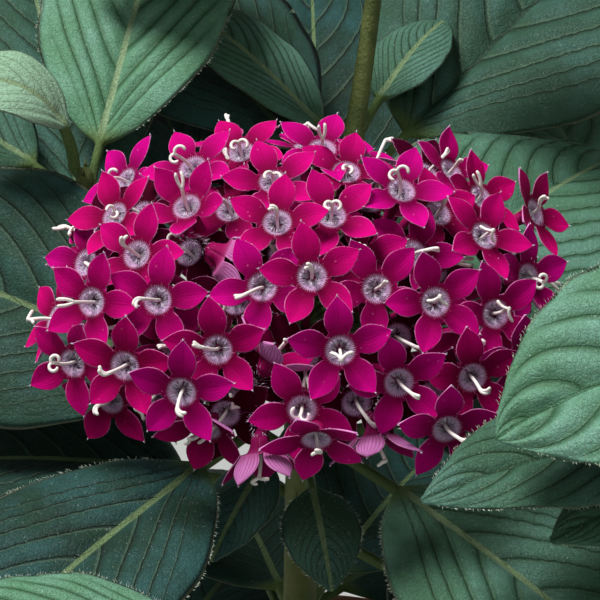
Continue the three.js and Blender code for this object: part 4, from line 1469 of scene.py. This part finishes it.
def turned_solid(profile, sides):
    """A closed solid of revolution; the profile starts and ends on the axis."""
    angles = np.arange(sides) * 2 * np.pi / sides
    circle = np.stack([np.cos(angles), np.sin(angles), 0 * angles], -1)
    rings = [r * circle + z * UP for r, z in profile[1:-1]]
    points = np.concatenate([*rings, [[0, 0, profile[0][1]], [0, 0, profile[-1][1]]]])
    low, high = len(points) - 2, len(points) - 1
    faces = skin_faces(len(rings), sides)[1:-1]
    last = (len(rings) - 1) * sides
    for i in range(sides):
        j = (i + 1) % sides
        faces.append([low, j, i])
        faces.append([high, last + i, last + j])
    return points, faces


def soft_corner(before, corner, after, radius, count=5):
    """A rounded corner of a profile."""
    before, corner, after = (np.array(p, float) for p in (before, corner, after))
    start = corner + unit(before - corner) * radius
    end = corner + unit(after - corner) * radius
    t = np.linspace(0, 1, count)[:, None]
    return (start * (1 - t) ** 2 + 2 * corner * t * (1 - t) + end * t * t).tolist()


def pot_profile():
    corners = [
        ((0, 0), 0), ((FOOT, 0), 1.2), ((SHOULDER, SHOULDER_HEIGHT), 0.8),
        ((RIM - 0.6, SHOULDER_HEIGHT), 1.2), ((RIM, POT_HEIGHT), 2.4),
        ((pot_inside(POT_HEIGHT), POT_HEIGHT), 1.6), ((pot_inside(FLOOR), FLOOR), 4), ((0, FLOOR), 0),
    ]
    profile = []
    for i, (corner, radius) in enumerate(corners):
        if radius:
            profile += soft_corner(corners[i - 1][0], corner, corners[i + 1][0], radius)
        else:
            profile.append(list(corner))
    return profile


DRILL = {"radius": DRAIN_RADIUS * MM, "depth": 3 * FLOOR * MM, "vertices": 32}
pot_heap = Heap()
pot_heap.add(*turned_solid(pot_profile(), POT_SIDES))
pot = pot_heap.piece("clay_pot", CLAY, "clay", "pot")
for i in range(DRAINS):
    spoke = direction(360 * i / DRAINS + 90, 0) * DRAIN_REACH
    bpy.ops.mesh.primitive_cylinder_add(location=spoke * MM, **DRILL)
    drill = bpy.context.object
    cut = pot.modifiers.new("drain", "BOOLEAN")
    cut.object, cut.operation, cut.solver = drill, "DIFFERENCE", "EXACT"
    bpy.context.view_layer.objects.active = pot
    bpy.ops.object.modifier_apply(modifier=cut.name)
    bpy.data.objects.remove(drill)
pot.data.set_sharp_from_angle(angle=math.radians(50))
print("the pot has", len(pot.data.polygons), "faces")

# %% [markdown]
# ## The soil
#
# Potting soil is dark and crumbly, with bits of bark and a few white grains. Its body fills
# the pot and is turned from a profile, as the pot is. Then its top is made rough, by lowering
# each point a little at random.

# %% The soil finish and the soil
def soil_feeds(tree):
    kind = mark_of(tree, "kind")
    blotch = use(tree, BLOTCHES, Scale=350.0)
    grain = use(tree, GRAIN, Scale=1800.0)
    colour = blend(blotch, rgb(34, 24, 18), rgb(66, 48, 36))
    colour = blend(ramp(kind, 0.4, 0.6), colour, rgb(92, 64, 42))
    colour = blend(ramp(kind, 0.8, 0.95), colour, rgb(214, 208, 196))
    return {"Base Color": colour, "Roughness": 0.95, "Specular IOR Level": 0.2, "Height": grain}


SOIL = finish("potting_soil", soil_feeds, bump_depth=0.0008)
SOIL_SIDES = 96
SOIL_RADIUS = pot_inside(SOIL_EDGE) - 2 * SEAT


def soil_height(radius):
    return float(np.interp(radius, [0, 30, SOIL_RADIUS], [SOIL_CROWN, 94.5, SOIL_EDGE]))


rng = np.random.default_rng(5)
profile = [(0, FLOOR + SEAT), (pot_inside(FLOOR) - 2 * SEAT, FLOOR + SEAT)]
profile += [(r, soil_height(r)) for r in np.linspace(SOIL_RADIUS, 1.5, 26)] + [(0, SOIL_CROWN)]
points, faces = turned_solid(profile, SOIL_SIDES)
inside = np.hypot(points[:, 0], points[:, 1]) < SOIL_RADIUS - 0.5
on_top = (points[:, 2] > SOIL_EDGE - 1) & inside
points[on_top, 2] -= rng.uniform(0, 1.5, on_top.sum())
soil_heap = Heap()
soil_heap.add(points, faces, kind=0.0)
print("the soil has", len(faces), "faces, before its crumbs")

# %% [markdown]
# ## The crumbs
#
# A crumb is a small ball with each corner pushed in or out at random. Blender makes the ball
# once, and its points are then squashed, spun and laid down for each crumb. One in five is a
# flake of bark, and one in twelve a white grain.

# %% Crumbs on the soil
bpy.ops.mesh.primitive_ico_sphere_add(subdivisions=2, radius=1)
ball = bpy.context.object
ball_points = np.array([v.co for v in ball.data.vertices])
ball_faces = [list(f.vertices) for f in ball.data.polygons]
bpy.data.objects.remove(ball)
CRUMBS = 520
CRUMB, BARK, GRIT = 0.0, 0.5, 1.0
BARK_SHAPE = np.array([1.3, 0.8, 0.5])
for i in range(CRUMBS):
    radius = (SOIL_RADIUS - 2.5) * math.sqrt(rng.uniform(0, 1))
    spoke = direction(rng.uniform(0, 360), 0) * radius
    kind = rng.choice([CRUMB, BARK, GRIT], p=[0.72, 0.2, 0.08])
    size = rng.uniform(0.7, 1.9) * (rng.uniform(0.7, 1.3, 3) if kind == CRUMB else BARK_SHAPE)
    lumps = ball_points * (1 + 0.28 * rng.normal(size=(len(ball_points), 1)).clip(-1.5, 1.5))
    turn = rng.uniform(0, 6.28)
    c, s = math.cos(turn), math.sin(turn)
    spun = (lumps * size) @ np.array([[c, s, 0], [-s, c, 0], [0, 0, 1]])
    height = min(soil_height(radius) - 0.4, SOIL_CROWN - 1.0)
    soil_heap.add(spun + spoke + UP * height, ball_faces, kind=kind)
soil_heap.piece("potting_soil", SOIL, "soil", "soil")
print("soil triangles:", TRIANGLES["potting_soil"])

# %% [markdown]
# ## The stage
#
# A plain pale floor, one large soft light high above on the left, a weaker one in front, and
# an even pale surround. The camera looks down at the head from the front, through a long
# lens, so that the florets keep their true shapes.

# %% Floor, lights and camera
def floor_feeds(tree):
    return {"Base Color": rgb(172, 174, 170), "Roughness": 0.8}


FLOOR_HALF = 3.0
floor_mesh = bpy.data.meshes.new("floor")
corners = [(x * FLOOR_HALF, y * FLOOR_HALF, 0) for x, y in ((-1, -1), (1, -1), (1, 1), (-1, 1))]
floor_mesh.from_pydata(corners, [], [(0, 1, 2, 3)])
floor_mesh.materials.append(finish("pale_floor", floor_feeds))
floor = bpy.data.objects.new("floor", floor_mesh)
bpy.context.scene.collection.objects.link(floor)


def soft_light(name, place, size, power):
    light = bpy.data.lights.new(name, "AREA")
    light.shape, light.size, light.energy = "DISK", size, power
    lamp = bpy.data.objects.new(name, light)
    lamp.location = place
    lamp.rotation_euler = (Vector((0, 0, 0.2)) - Vector(place)).to_track_quat("-Z", "Y").to_euler()
    bpy.context.scene.collection.objects.link(lamp)


soft_light("window", (-0.8, 0.4, 2.2), 0.9, 68)
soft_light("fill", (0.5, -1.5, 1.9), 1.4, 8)
world = bpy.data.worlds.new("surround")
world.use_nodes = True
surround = world.node_tree.nodes["Background"].inputs
surround["Color"].default_value = (0.86, 0.93, 1.0, 1)
surround["Strength"].default_value = 0.12
bpy.context.scene.world = world

LOOK_AT = Vector(HEAD_CENTRE * MM)
DISTANCE, VIEW_WIDTH, SENSOR = 0.42, 0.0894, 36
camera = bpy.data.objects.new("camera", bpy.data.cameras.new("camera"))
camera.data.sensor_width = SENSOR
camera.data.lens = SENSOR * DISTANCE / VIEW_WIDTH
back = Vector(TO_LIGHT)
camera.location = LOOK_AT + back * DISTANCE
camera.rotation_euler = (-back).to_track_quat("-Z", "Y").to_euler()
bpy.context.scene.collection.objects.link(camera)
bpy.context.scene.camera = camera
bpy.context.scene.view_settings.view_transform = "Standard"
print("all triangles:", sum(TRIANGLES.values()))
